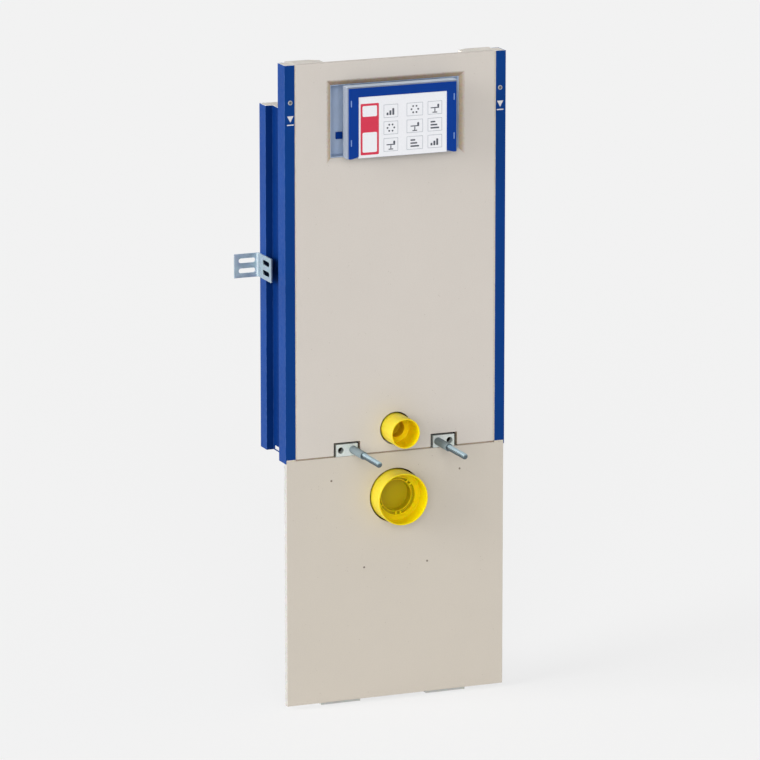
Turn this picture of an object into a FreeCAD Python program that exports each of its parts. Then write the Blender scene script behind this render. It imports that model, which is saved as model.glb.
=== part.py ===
"""Wall hung toilet frame: a prewall block with a concealed cistern between two folded steel side channels.

X runs to the right, Y from the room to the wall and Z up, all in millimetres.
The floor is Z = 0, the finished front is Y = 0 and the frame is the same left and right of X = 0.
"""
import FreeCAD, Part
import os
import re
import Sketcher

doc = FreeCAD.newDocument("toilet_frame")
sheet = doc.addObject("Spreadsheet::Sheet", "Sizes")

# Driving sizes: the name used in formulas, the value and what it measures.
SIZES = [
    ("width", 463, "outside of the side channels"),
    ("height", 1285, "floor to the top of the front"),
    ("depth", 134, "front to the back of the side channels"),
    ("wall_gap", 4, "side channels to the wall behind"),
    ("board", 12.5, "thickness of the cement boards"),
    ("board_lift", 8, "floor to the lower board"),
    ("joint_gap", 3, "open joint between the boards"),
    ("plate_gap", 0.5, "rod plates to the lower board"),
    ("board_gap", 2.5, "upper board to the channel flanges"),
    ("skin", 1.5, "sheet of the side channels"),
    ("flange", 21, "width of the front and rear flanges"),
    ("front_fold", 36, "depth of the front fold of a channel"),
    ("rear_fold", 32, "depth of the rear fold of a channel"),
    ("groove", 14.5, "inset of the groove between the folds"),
    ("rear_drop", 95, "top of the front to the top of the rear fold"),
    ("side_hang", 6, "channel sides below the joint"),
    ("rear_lift", 6.5, "foot of the front folds to the foot of the rear folds"),
    ("cable_notch", 10, "height of the notch at the foot of the groove"),
    ("notch_margin", 6, "notch to the folds beside it"),
    ("notch_strip", 3, "strip of the groove below the notch"),
    ("fill_gap", 0.2, "filling to the steel around it"),
    ("fill_drop", 4, "top of the front to the filling in a front fold"),
    ("panel_drop", 6, "top of the front to the core panel between the posts"),
    ("post_width", 30, "core post beside the cistern"),
    ("post_head_depth", 11, "depth of a post above the rear fold"),
    ("post_head_width", 50, "rear width of that head"),
    ("post_head_slant", 20, "how far its inner side slants"),
    ("opening_width", 269, "service opening"),
    ("opening_height", 143, "service opening"),
    ("opening_drop", 45, "top of the front to the service opening"),
    ("opening_bevel", 10.5, "width of the broken edge around the service opening"),
    ("bevel_depth", 5, "depth of that broken edge"),
    ("collar", 2.5, "plate at the back of the service opening"),
    ("collar_gap", 1, "collar to the edges of the opening"),
    ("cover_width", 224, "blue face of the cover"),
    ("cover_height", 138, "blue face of the cover"),
    ("cover_drop", 47.5, "top of the front to the blue face"),
    ("cover_reach", 36, "cover face in front of the boards"),
    ("cover_face", 3, "thickness of the blue face"),
    ("cover_bar", 20, "side bars of the blue face"),
    ("cover_head", 17.5, "top bar of the blue face"),
    ("cover_toe", 1, "side bars below the card"),
    ("cover_rim", 3, "tray around the blue face"),
    ("tray_depth", 22, "rim of the tray"),
    ("tray_wall", 3, "wall of the tray"),
    ("neck_inset", 21, "tray to the neck behind it"),
    ("card", 2, "thickness of the card"),
    ("plug_side", 14, "square plug in the collar"),
    ("plug_reach", 3, "square plug in front of the collar"),
    ("plug_side_in", 12, "neck of the cover to the plug's middle"),
    ("plug_rise", 38, "bottom of the opening to the plug's middle"),
    ("rod_height", 515, "floor to the fixing rods"),
    ("rod_spacing", 180, "fixing rods, the narrow standard pitch"),
    ("hole_spacing", 230, "free fixing holes, the wide standard pitch"),
    ("rod_radius", 6, "thread of an M12 fixing rod"),
    ("shank_radius", 5.75, "plain shank of a fixing rod"),
    ("shank_reach", 2, "shank in front of its sleeve"),
    ("rod_reach", 138, "fixing rods in front of the boards"),
    ("rod_tail", 24, "fixing rods behind the boards"),
    ("rod_gap", 0.25, "rods to the holes they pass"),
    ("free_radius", 6.5, "free fixing hole"),
    ("sleeve_wall", 1.6, "sleeve on a fixing rod"),
    ("sleeve_reach", 56, "sleeve in front of the boards"),
    ("plate_width", 45, "rod plate"),
    ("plate_height", 24, "rod plate"),
    ("plate", 11.5, "thickness of a rod plate"),
    ("notch_gap", 4, "rod plate to the top of its notch"),
    ("notch_side", 5.5, "rod plate to the sides of its notch"),
    ("rail_height", 46, "fixing rail"),
    ("rail_depth", 38, "fixing rail"),
    ("rail_wall", 2.5, "sheet of the fixing rail"),
    ("rail_over", 10, "rods to the top of the fixing rail"),
    ("rail_saddle", 2, "flush pipe to a rail that it crosses"),
    ("drain_drop", 100, "rods to the drain"),
    ("flush_rise", 135, "drain to the flush pipe"),
    ("drain_radius", 45, "outside of the drain pipe"),
    ("drain_wall", 3.5, "wall of the drain pipe"),
    ("drain_bend", 58, "bend of the drain, at its middle line"),
    ("drain_back", 53, "drain's upright leg to the back of the channels"),
    ("drain_end", 200, "floor to the end of the drain's leg"),
    ("drain_cap_step", 7, "drain pipe to the outside of its cap"),
    ("drain_cap_reach", 40, "drain cap in front of the board"),
    ("drain_cap_ledge", 4, "ledge in the drain cap in front of the board"),
    ("drain_cap_ring", 20, "ledge to the ring in the drain cap"),
    ("drain_cap_past", 15, "start of the drain's bend to the floor of its cap"),
    ("adaptor_wall", 4, "wall of the drain adaptor"),
    ("adaptor_radius", 55, "outside of the adaptor's wide end"),
    ("adaptor_overlap", 32, "adaptor over the drain's leg"),
    ("adaptor_tail", 42, "adaptor below the drain's leg"),
    ("flush_radius", 22.5, "outside of the flush pipe"),
    ("flush_wall", 2.5, "wall of the flush pipe"),
    ("flush_bend", 42, "bend of the flush pipe, at its middle line"),
    ("flush_back", 50, "flush pipe's upright leg to the back of the channels"),
    ("flush_leg", 30, "straight end of the flush pipe under the cistern"),
    ("flush_cap_step", 7.5, "flush pipe to the outside of its cap"),
    ("flush_cap_reach", 52, "flush cap in front of the board"),
    ("flush_cap_ledge", 1, "ledge in the flush cap in front of the board"),
    ("flush_cap_depth", 25, "ledge to the floor of the flush cap"),
    ("flush_nut_wall", 7, "union nut on the flush pipe"),
    ("flush_nut", 22, "height of the union nut"),
    ("cap_wall", 2.4, "wall of the caps"),
    ("cup_wall", 2, "wall of the cups in the caps"),
    ("cap_gap", 2.8, "caps to the holes in the boards"),
    ("pipe_gap", 0.25, "pipes to the caps and clips on them"),
    ("tank_drop", 18, "top of the rear folds to the rim of the cistern"),
    ("tank_side", 7.5, "cistern to the core posts"),
    ("tank_gap", 3, "cistern's ribs to the back of the channels"),
    ("tank_wall", 3, "wall of the cistern"),
    ("tank_corner", 12, "rounding of the cistern's upright edges"),
    ("tank_rib", 3, "ribs on the back of the cistern"),
    ("tank_rib_width", 16, "ribs on the back of the cistern"),
    ("tank_rib_pitch", 110, "ribs on the back of the cistern"),
    ("lid_side", 55, "side of the cistern to the service dome"),
    ("lid_back", 14, "back of the cistern to the service dome"),
    ("lid_rise", 80, "rim of the cistern to the top of the service dome"),
    ("lid_lip", 5, "thickness of the cistern lid"),
    ("shelf", 4, "shelf under the cistern"),
    ("shelf_front", 7, "hole in the shelf to its front edge"),
    ("shelf_gap", 4, "flush pipe to the hole in the shelf"),
    ("inlet_radius", 10.5, "half inch water inlet"),
    ("inlet_length", 34, "water inlet above the lid"),
    ("inlet_base", 8.5, "height of the inlet's collar"),
    ("inlet_collar", 15, "radius of the inlet's collar"),
    ("inlet_side", 20, "side of the cistern to the water inlet"),
    ("inlet_back", 38, "water inlet to the back of the channels"),
    ("tie_height", 40, "rear ties"),
    ("upper_tie", 40, "top of the rear folds to the upper rear tie"),
    ("lower_tie", 62, "joint of the boards to the lower rear tie"),
    ("leg_spacing", 224, "between the legs' middles"),
    ("leg_width", 56, "leg"),
    ("leg_depth", 40, "leg"),
    ("leg_wall", 2, "wall of the legs and foot tubes"),
    ("leg_foot", 70, "floor to the legs"),
    ("foot_tube_gap", 0.4, "foot tube to the leg around it"),
    ("foot_tube_top", 330, "floor to the top of the foot tubes"),
    ("foot_width", 83.5, "foot plate"),
    ("foot_back", 1.5, "foot plates to the back of the channels"),
    ("foot", 5, "thickness of a foot plate"),
    ("anchor_radius", 5.5, "floor anchor hole"),
    ("anchor_spacing", 40, "floor anchor holes of a foot"),
    ("anchor_back", 14.5, "rear anchor hole to the back of its foot plate"),
    ("brace_rise", 28, "drain adaptor to the lower brace"),
    ("brace_height", 30, "lower brace between the legs"),
    ("brace_wall", 2, "sheet of the lower brace"),
    ("clip_wall", 2.5, "pipe clip on the drain"),
    ("bracket_rise", 846, "floor to the wall brackets"),
    ("bracket_height", 47.5, "wall bracket"),
    ("bracket_wall", 3, "sheet of the wall brackets"),
    ("bracket_side", 70, "bracket along the channel"),
    ("bracket_arm", 53, "bracket along the wall"),
    ("slot_pitch", 20, "between the two slots of a bracket"),
    ("slot_radius", 4.75, "half the width of a slot"),
    ("slot_length", 35, "whole length of a slot"),
    ("slot_margin", 9, "slots to the bracket's ends"),
]

for row, (name, value, note) in enumerate(SIZES, start=1):
    sheet.set(f"A{row}", name)
    sheet.set(f"B{row}", str(value))
    sheet.setAlias(f"B{row}", name)
    sheet.set(f"C{row}", note)
doc.recompute()

# Places worked out from the driving sizes.
SIDE = "width / 2"
WEB = "(width / 2 - groove - skin)"
BOARD_SIDE = "(width / 2 - flange - board_gap)"
LOWER_TOP = "(rod_height - plate_height / 2 - plate_gap)"
UPPER_FOOT = "(rod_height - plate_height / 2 - plate_gap + joint_gap)"
JOINT = "(rod_height - plate_height / 2 - plate_gap + joint_gap / 2)"
REAR_TOP = "(height - rear_drop)"
OPENING_TOP = "(height - opening_drop)"
OPENING_FOOT = "(height - opening_drop - opening_height)"
COVER_TOP = "(height - cover_drop)"
COVER_FOOT = "(height - cover_drop - cover_height)"
TRAY_FRONT = "(cover_face - cover_reach)"
TRAY_BACK = "(cover_face - cover_reach + tray_depth)"
NECK_SIDE = "(cover_width / 2 + cover_rim - neck_inset)"
COLLAR_FRONT = "(front_fold - collar)"
RAIL_TOP = "(rod_height + rail_over)"
RAIL_FOOT = "(rod_height + rail_over - rail_height)"
POST_FOOT = "(rod_height + rail_over + fill_gap)"
POST_SIDE = "(width / 2 - groove - skin - fill_gap)"
POST_INNER = "(width / 2 - groove - skin - post_width)"
POST_BACK = "(depth - skin - fill_gap)"
DRAIN_HEIGHT = "(rod_height - drain_drop)"
FLUSH_HEIGHT = "(rod_height - drain_drop + flush_rise)"
PLATE_MIDDLE = "((rod_spacing + hole_spacing) / 4)"
DRAIN_BACK = "(depth - drain_back)"
FLUSH_BACK = "(depth - flush_back)"
TANK_FOOT = "(rod_height - drain_drop + flush_rise + flush_bend + flush_leg)"
TANK_TOP = "(height - rear_drop - tank_drop)"
TANK_SIDE = "(width / 2 - groove - skin - post_width - tank_side)"
TANK_BACK = "(depth - tank_gap - tank_rib)"
LEG_INNER = "(leg_spacing / 2 - leg_width / 2)"
LEG_OUTER = "(leg_spacing / 2 + leg_width / 2)"
CLIP_RADIUS = "(drain_radius + pipe_gap + clip_wall)"
BRACE_FOOT = "(drain_end + adaptor_overlap + brace_rise)"

PAST = 1  # how far a cutting tool runs past the face that it cuts
UPRIGHT = 0.99  # least upward part of an edge's direction that counts as upright
ALONG = {
    "x": FreeCAD.Rotation(FreeCAD.Vector(0, 1, 0), 90),
    "y": FreeCAD.Rotation(FreeCAD.Vector(1, 0, 0), -90),
    "z": FreeCAD.Rotation(),
}
pieces = []


def bind(thing, prop, formula):
    """Ties a property to a formula in the names of the sheet."""
    thing.setExpression(prop, re.sub(r"[a-z_]+", r"Sizes.\g<0>", formula))


def place(thing, x, y, z):
    """Ties the place of a thing to three formulas."""
    for axis, formula in zip("xyz", (x, y, z)):
        bind(thing, f"Placement.Base.{axis}", formula)


def block(name, x, y, z):
    """A box between the low and high formulas of each axis."""
    made = doc.addObject("Part::Box", name)
    for prop, (low, high) in zip(("Length", "Width", "Height"), (x, y, z)):
        bind(made, prop, f"({high}) - ({low})")
    place(made, x[0], y[0], z[0])
    return made


def round_bar(name, axis, middle, span, radius):
    """A cylinder along an axis: the two other coordinates of its middle line, then its low and high ends."""
    made = doc.addObject("Part::Cylinder", name)
    made.Placement = FreeCAD.Placement(FreeCAD.Vector(), ALONG[axis])
    bind(made, "Radius", radius)
    bind(made, "Height", f"({span[1]}) - ({span[0]})")
    where = list(middle)
    where.insert("xyz".index(axis), span[0])
    place(made, *where)
    return made


def join(name, *parts):
    """One solid from parts that meet."""
    made = doc.addObject("Part::MultiFuse", name)
    made.Shapes = list(parts)
    made.Refine = True
    return made


def cut(name, base, *tools):
    """The base without its tools."""
    made = doc.addObject("Part::Cut", name)
    made.Base = base
    made.Tool = tools[0] if len(tools) == 1 else join(f"{name}_tools", *tools)
    made.Refine = True
    return made


def mirrored(name, source):
    """The left-hand copy of a right-hand thing."""
    made = doc.addObject("Part::Mirroring", name)
    made.Source = source
    made.Normal = FreeCAD.Vector(1, 0, 0)
    return made


def keep(label, thing):
    """Names a finished piece."""
    thing.Label = label
    pieces.append(thing)
    return thing


def keep_pair(label, thing):
    """Names a finished right-hand piece and adds its left-hand copy."""
    keep(f"right_{label}", thing)
    keep(f"left_{label}", mirrored(f"left_{label}", thing))


def both_sides(name, thing):
    """A tool and its mirror image as one tool."""
    return join(f"{name}_pair", thing, mirrored(f"{name}_left", thing))


def profile(body, name, plane, corners, offset="0"):
    """A closed outline on one of the body's own planes, each corner tied to two formulas."""
    sketch = body.newObject("Sketcher::SketchObject", name)
    support = next(item for item in body.Origin.OriginFeatures if item.Role == plane)
    sketch.AttachmentSupport = (support, [""])
    sketch.MapMode = "FlatFace"
    bind(sketch, "AttachmentOffset.Base.z", offset)
    count = len(corners)
    start = [FreeCAD.Vector(10 * step, (step % 2) * 10 + step, 0) for step in range(count)]
    for step in range(count):
        sketch.addGeometry(Part.LineSegment(start[step], start[(step + 1) % count]), False)
    for step in range(count):
        sketch.addConstraint(Sketcher.Constraint("Coincident", step, 2, (step + 1) % count, 1))
    for step, corner in enumerate(corners):
        for kind, formula in zip(("DistanceX", "DistanceY"), corner):
            index = sketch.addConstraint(Sketcher.Constraint(kind, -1, 1, step, 1, 1.0 + step))
            sketch.renameConstraint(index, f"{kind}{step}")
            bind(sketch, f"Constraints.{kind}{step}", formula)
    return sketch


def padded(body, sketch, length, reverse=False):
    """Extrudes a sketch of the body."""
    pad = body.newObject("PartDesign::Pad", f"{sketch.Name}_pad")
    pad.Profile = sketch
    pad.Reversed = reverse
    bind(pad, "Length", length)
    return pad


def rectangle(x, y):
    """The four corners of a rectangle."""
    return [(x[0], y[0]), (x[1], y[0]), (x[1], y[1]), (x[0], y[1])]


def rounded_block(name, x, y, z, radius):
    """A block whose four upright edges are rounded."""
    body = doc.addObject("PartDesign::Body", name)
    sketch = profile(body, f"{name}_outline", "XY_Plane", rectangle(x, y), z[0])
    pad = padded(body, sketch, f"({z[1]}) - ({z[0]})")
    doc.recompute()
    edges = [f"Edge{index}" for index, edge in enumerate(pad.Shape.Edges, start=1)
             if abs(edge.tangentAt(edge.FirstParameter).z) > UPRIGHT]
    fillet = body.newObject("PartDesign::Fillet", f"{name}_corners")
    fillet.Base = (pad, edges)
    bind(fillet, "Radius", radius)
    return body


def side_channels():
    """Folded sheet channels: a front fold, a groove and a shorter rear fold."""
    body = doc.addObject("PartDesign::Body", "channel_body")
    groove = "width / 2 - groove"
    rear_front = "depth - rear_fold"
    corners = [
        (f"{SIDE} - flange", "0"),
        (SIDE, "0"),
        (SIDE, "front_fold"),
        (groove, "front_fold"),
        (groove, rear_front),
        (SIDE, rear_front),
        (SIDE, "depth"),
        (f"{SIDE} - flange", "depth"),
        (f"{SIDE} - flange", "depth - skin"),
        (f"{SIDE} - skin", "depth - skin"),
        (f"{SIDE} - skin", f"{rear_front} + skin"),
        (WEB, f"{rear_front} + skin"),
        (WEB, "front_fold - skin"),
        (f"{SIDE} - skin", "front_fold - skin"),
        (f"{SIDE} - skin", "skin"),
        (f"{SIDE} - flange", "skin"),
    ]
    foot = f"{JOINT} - side_hang"
    sketch = profile(body, "channel_profile", "XY_Plane", corners, foot)
    padded(body, sketch, f"height - ({foot})")
    rear_foot = f"{foot} + rear_lift"
    ends = {"head": (REAR_TOP, f"height + {PAST}"), "foot": (f"{foot} - {PAST}", rear_foot)}
    rear_ends = [block(f"channel_{end}_cut", (f"{SIDE} - flange - groove - {PAST}", f"{SIDE} + {PAST}"),
                       ("front_fold", f"depth + {PAST}"), span) for end, span in ends.items()]
    flange_cut = block("channel_flange_cut", (f"{SIDE} - flange - {PAST}", f"{SIDE} - skin"),
                       (f"0 - {PAST}", "skin"), (f"{foot} - {PAST}", UPPER_FOOT))
    notch = block("channel_notch", (f"{WEB} - {PAST}", f"{groove} + {PAST}"),
                  ("front_fold + notch_margin", f"{rear_front} - notch_margin"),
                  (f"{rear_foot} + notch_strip", f"{rear_foot} + cable_notch"))
    keep_pair("side_channel", cut("right_side_channel", body, *rear_ends, flange_cut, notch))


def upper_board():
    """The upper cement board with the service opening, the flush hole and the two rod notches."""
    blank = block("upper_blank", (f"0 - {BOARD_SIDE}", BOARD_SIDE), ("0", "board"), (UPPER_FOOT, "height"))
    window = block("window", ("0 - opening_width / 2", "opening_width / 2"),
                   (f"0 - {PAST}", f"board + {PAST}"), (OPENING_FOOT, OPENING_TOP))
    bevel = doc.addObject("Part::Wedge", "window_bevel")
    for prop, formula in {
        "Xmin": "0 - opening_width / 2 - opening_bevel", "Xmax": "opening_width / 2 + opening_bevel",
        "X2min": "0 - opening_width / 2", "X2max": "opening_width / 2",
        "Ymin": "0", "Ymax": "bevel_depth",
        "Zmin": f"{OPENING_FOOT} - opening_bevel", "Zmax": f"{OPENING_TOP} + opening_bevel",
        "Z2min": OPENING_FOOT, "Z2max": OPENING_TOP,
    }.items():
        bind(bevel, prop, formula)
    hole = round_bar("flush_hole", "y", ("0", FLUSH_HEIGHT), (f"0 - {PAST}", f"board + {PAST}"),
                     "flush_radius + flush_cap_step + cap_gap")
    half = "(plate_width / 2 + notch_side)"
    notch = block("rod_notch", (f"{PLATE_MIDDLE} - {half}", f"{PLATE_MIDDLE} + {half}"),
                  (f"0 - {PAST}", f"board + {PAST}"),
                  (f"{UPPER_FOOT} - {PAST}", "rod_height + plate_height / 2 + notch_gap"))
    keep("upper_board", cut("upper_board", blank, window, bevel, hole, both_sides("rod_notch", notch)))


def lower_board():
    """The lower cement board with the drain hole."""
    edge = "(width / 2 - skin - fill_gap)"
    blank = block("lower_blank", (f"0 - {edge}", edge), ("0", "board"), ("board_lift", LOWER_TOP))
    hole = round_bar("drain_hole", "y", ("0", DRAIN_HEIGHT), (f"0 - {PAST}", f"board + {PAST}"),
                     "drain_radius + drain_cap_step + cap_gap")
    keep("lower_board", cut("lower_board", blank, hole))


def core_panel():
    """The light concrete layer behind the upper board, which also fills the front folds."""
    middle = block("core_middle", (f"0 - {BOARD_SIDE}", BOARD_SIDE), ("board", "front_fold"),
                   (POST_FOOT, "height"))
    edge = block("core_edge", (BOARD_SIDE, f"{SIDE} - skin - fill_gap"),
                 ("skin + fill_gap", "front_fold - skin - fill_gap"), (POST_FOOT, "height - fill_drop"))
    window = block("core_window", ("0 - opening_width / 2", "opening_width / 2"),
                   (f"board - {PAST}", f"front_fold + {PAST}"), (OPENING_FOOT, OPENING_TOP))
    hole = round_bar("core_flush_hole", "y", ("0", FLUSH_HEIGHT), (f"board - {PAST}", f"front_fold + {PAST}"),
                     "flush_radius + flush_cap_step + cap_gap")
    head = f"({POST_SIDE} - post_head_width - post_head_slant)"
    dip = block("core_dip", (f"0 - {head}", head), (f"board - {PAST}", f"front_fold + {PAST}"),
                ("height - panel_drop", f"height + {PAST}"))
    blank = join("core_blank", middle, both_sides("core_edge", edge))
    keep("core_panel", cut("core_panel", blank, window, hole, dip))


def core_posts():
    """Light concrete posts that fill the rear folds, each with a shallower head up to the top."""
    post = block("post_main", (POST_INNER, POST_SIDE), ("front_fold", POST_BACK), (POST_FOOT, REAR_TOP))
    fill = block("post_fill", (POST_SIDE, f"{SIDE} - skin - fill_gap"),
                 ("depth - rear_fold + skin + fill_gap", POST_BACK), (POST_FOOT, REAR_TOP))
    head = doc.addObject("Part::Wedge", "post_head")
    for prop, formula in {
        "Xmin": f"{POST_SIDE} - post_head_width - post_head_slant", "Xmax": POST_SIDE,
        "X2min": f"{POST_SIDE} - post_head_width", "X2max": POST_SIDE,
        "Ymin": "front_fold", "Ymax": "front_fold + post_head_depth",
        "Zmin": REAR_TOP, "Zmax": "height", "Z2min": REAR_TOP, "Z2max": "height",
    }.items():
        bind(head, prop, formula)
    keep_pair("core_post", join("right_core_post", post, fill, head))


def service_cover():
    """The collar at the back of the opening and the cover that stands in front of it."""
    half = "(opening_width / 2 - collar_gap)"
    collar = block("collar", (f"0 - {half}", half), (COLLAR_FRONT, "front_fold"),
                   (f"{OPENING_FOOT} + collar_gap", f"{OPENING_TOP} - collar_gap"))
    keep("service_collar", collar)

    middle = f"(0 - {NECK_SIDE} - plug_side_in)"
    level = f"({OPENING_FOOT} + plug_rise)"
    plug = block("plug", (f"{middle} - plug_side / 2", f"{middle} + plug_side / 2"),
                 (f"{COLLAR_FRONT} - plug_reach", COLLAR_FRONT),
                 (f"{level} - plug_side / 2", f"{level} + plug_side / 2"))
    keep("collar_plug", plug)

    edge = "(cover_width / 2 + cover_rim)"
    tray = block("tray_blank", (f"0 - {edge}", edge), (TRAY_FRONT, TRAY_BACK),
                 (COVER_FOOT, f"{COVER_TOP} + cover_rim"))
    hollow = block("tray_hollow", (f"tray_wall - {edge}", f"{edge} - tray_wall"),
                   (f"{TRAY_FRONT} + tray_wall", f"{TRAY_BACK} + {PAST}"),
                   (f"{COVER_FOOT} + tray_wall", f"{COVER_TOP} + cover_rim - tray_wall"))
    neck = block("tray_neck", (f"0 - {NECK_SIDE}", NECK_SIDE), (f"{TRAY_FRONT} + tray_wall", COLLAR_FRONT),
                 (f"{COVER_FOOT} + neck_inset", f"{COVER_TOP} + cover_rim - neck_inset"))
    keep("cover_tray", join("cover_tray", cut("tray_shell", tray, hollow), neck))

    body = doc.addObject("PartDesign::Body", "cover_frame")
    outer = "cover_width / 2"
    low = "(cover_width / 2 - cover_bar)"
    head = f"{COVER_TOP} - cover_head"
    corners = [
        (f"0 - {outer}", COVER_FOOT), (f"0 - {low}", COVER_FOOT), (f"0 - {low}", head), (low, head),
        (low, COVER_FOOT), (outer, COVER_FOOT), (outer, COVER_TOP), (f"0 - {outer}", COVER_TOP),
    ]
    sketch = profile(body, "cover_outline", "XZ_Plane", corners, f"0 - {TRAY_FRONT}")
    padded(body, sketch, "cover_face")
    keep("cover_frame", body)

    card = block("card", (f"0 - {low}", low), (f"{TRAY_FRONT} - card", TRAY_FRONT),
                 (f"{COVER_FOOT} + cover_toe", head))
    keep("cover_card", card)


def fixing_rods():
    """Two threaded rods in their sleeves, on plates with a second hole, and the rail that carries them."""
    rod_side = "rod_spacing / 2"
    free_side = "hole_spacing / 2"
    plate_front = "board - plate"
    behind = f"board + rail_wall + {PAST}"

    outer = block("rail_blank", (f"0 - {WEB}", WEB), ("board", "board + rail_depth"), (RAIL_FOOT, RAIL_TOP))
    hollow = block("rail_hollow", (f"0 - {WEB} - {PAST}", f"{WEB} + {PAST}"),
                   ("board + rail_wall", f"board + rail_depth + {PAST}"),
                   (f"{RAIL_FOOT} + rail_wall", f"{RAIL_TOP} - rail_wall"))
    passes = []
    for name, side, radius in (("rod", rod_side, "rod_radius + rod_gap"), ("free", free_side, "free_radius")):
        hole = round_bar(f"rail_{name}_hole", "y", (side, "rod_height"), (f"board - {PAST}", behind), radius)
        passes.append(both_sides(f"rail_{name}_hole", hole))
    saddle = round_bar("rail_saddle_cut", "y", ("0", FLUSH_HEIGHT),
                       (f"board - {PAST}", f"board + rail_depth + {PAST}"), "flush_radius + rail_saddle")
    keep("fixing_rail", cut("fixing_rail", outer, hollow, saddle, *passes))

    plate = block("plate_blank", (f"{PLATE_MIDDLE} - plate_width / 2", f"{PLATE_MIDDLE} + plate_width / 2"),
                  (plate_front, "board"), ("rod_height - plate_height / 2", "rod_height + plate_height / 2"))
    drill = (f"{plate_front} - {PAST}", f"board + {PAST}")
    rod_hole = round_bar("plate_rod_hole", "y", (rod_side, "rod_height"), drill, "rod_radius + rod_gap")
    free_hole = round_bar("plate_free_hole", "y", (free_side, "rod_height"), drill, "free_radius")
    keep_pair("rod_plate", cut("right_rod_plate", plate, rod_hole, free_hole))

    axis = (rod_side, "rod_height")
    thread_end = "(0 - sleeve_reach - shank_reach)"
    thread = round_bar("rod_thread", "y", axis, ("0 - rod_reach", thread_end), "rod_radius")
    shank = round_bar("rod_shank", "y", axis, (thread_end, "board + rod_tail"), "shank_radius")
    keep_pair("fixing_rod", join("right_fixing_rod", thread, shank))

    span = ("0 - sleeve_reach", plate_front)
    sleeve = round_bar("sleeve_blank", "y", axis, span, "rod_radius + rod_gap + sleeve_wall")
    bore = round_bar("sleeve_bore", "y", axis, (f"{span[0]} - {PAST}", f"{span[1]} + {PAST}"),
                     "rod_radius + rod_gap")
    keep_pair("rod_sleeve", cut("right_rod_sleeve", sleeve, bore))


def cap(name, pipe, height, floors):
    """A protective cap: an open skirt, a ledge on the end of its pipe and a stepped cup in the pipe."""
    body = doc.addObject("PartDesign::Body", name)
    outer = f"{pipe}_radius + {name}_step"
    inner = f"({outer} - cap_wall)"
    ledge = f"(0 - {name}_ledge)"
    behind = f"(cap_wall - {name}_ledge)"
    cup = f"{pipe}_radius - {pipe}_wall - pipe_gap"
    outside, inside = [], []
    starts = [behind] + [f"{floor} + cup_wall" for floor in floors]
    fronts = [ledge] + floors
    for step, floor in enumerate(floors):
        wide, narrow = f"{cup} - {step} * cup_wall", f"{cup} - {step + 1} * cup_wall"
        outside += [(starts[step], wide), (starts[step + 1], wide)]
        inside += [(fronts[step], narrow), (floor, narrow)]
    corners = [
        (f"0 - {name}_reach", inner), (f"0 - {name}_reach", outer), ("board", outer), ("board", inner),
        (behind, inner), *outside, (starts[-1], "0"), (fronts[-1], "0"), *reversed(inside), (ledge, inner),
    ]
    sketch = profile(body, f"{name}_section", "YZ_Plane", corners)
    turn = body.newObject("PartDesign::Revolution", f"{name}_turn")
    turn.Profile = sketch
    turn.ReferenceAxis = (sketch, ["H_Axis"])
    turn.Angle = 360
    place(body, "0", "0", height)
    keep(name, body)


def elbow(name, ring, radius, middle, up):
    """A quarter ring in the middle plane: from the back towards the top, or towards the foot."""
    made = doc.addObject("Part::Torus", name)
    made.Angle3 = 90
    towards = FreeCAD.Vector(0, 0, 1 if up else -1)
    across = FreeCAD.Vector(1 if up else -1, 0, 0)
    turn = FreeCAD.Rotation(FreeCAD.Vector(0, 1, 0), towards, across, "XYZ")
    made.Placement = FreeCAD.Placement(FreeCAD.Vector(), turn)
    bind(made, "Radius1", ring)
    bind(made, "Radius2", radius)
    place(made, "0", *middle)
    return made


def drain():
    """The drain: a bend behind the lower board, its cap, the adaptor at its foot and its clip."""
    start = "(cap_wall - drain_cap_ledge)"
    turn = f"({DRAIN_BACK} - drain_bend)"
    fall = f"({DRAIN_HEIGHT} - drain_bend)"
    bend = {}
    bore = "(drain_radius - drain_wall)"
    for name, radius, past in (("outer", "drain_radius", "0"), ("bore", bore, str(PAST))):
        bend[name] = join(
            f"drain_{name}",
            round_bar(f"drain_{name}_level", "y", ("0", DRAIN_HEIGHT), (f"{start} - {past}", turn), radius),
            elbow(f"drain_{name}_elbow", "drain_bend", radius, (turn, fall), True),
            round_bar(f"drain_{name}_leg", "z", ("0", DRAIN_BACK), (f"drain_end - {past}", fall), radius))
    keep("drain_bend", cut("drain_bend", bend["outer"], bend["bore"]))
    floors = ["(drain_cap_ring - drain_cap_ledge)", f"({turn} + drain_cap_past)"]
    cap("drain_cap", "drain", DRAIN_HEIGHT, floors)

    axis = ("0", DRAIN_BACK)
    foot = "drain_end - adaptor_tail"
    top = "drain_end + adaptor_overlap"
    socket = "drain_radius + pipe_gap"
    upper = round_bar("adaptor_upper", "z", axis, ("drain_end", top), f"{socket} + adaptor_wall")
    lower = round_bar("adaptor_lower", "z", axis, (foot, "drain_end"), "adaptor_radius")
    upper_bore = round_bar("adaptor_upper_bore", "z", axis, ("drain_end", f"{top} + {PAST}"), socket)
    lower_bore = round_bar("adaptor_lower_bore", "z", axis, (f"{foot} - {PAST}", "drain_end"),
                           "drain_radius - drain_wall")
    keep("drain_adaptor", cut("drain_adaptor", join("adaptor_blank", upper, lower), upper_bore, lower_bore))

    span = (BRACE_FOOT, f"{BRACE_FOOT} + brace_height")
    ring = round_bar("clip_ring", "z", axis, span, CLIP_RADIUS)
    bore = round_bar("clip_bore", "z", axis, (f"{span[0]} - {PAST}", f"{span[1]} + {PAST}"), socket)
    keep("drain_clip", cut("drain_clip", ring, bore))


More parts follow.
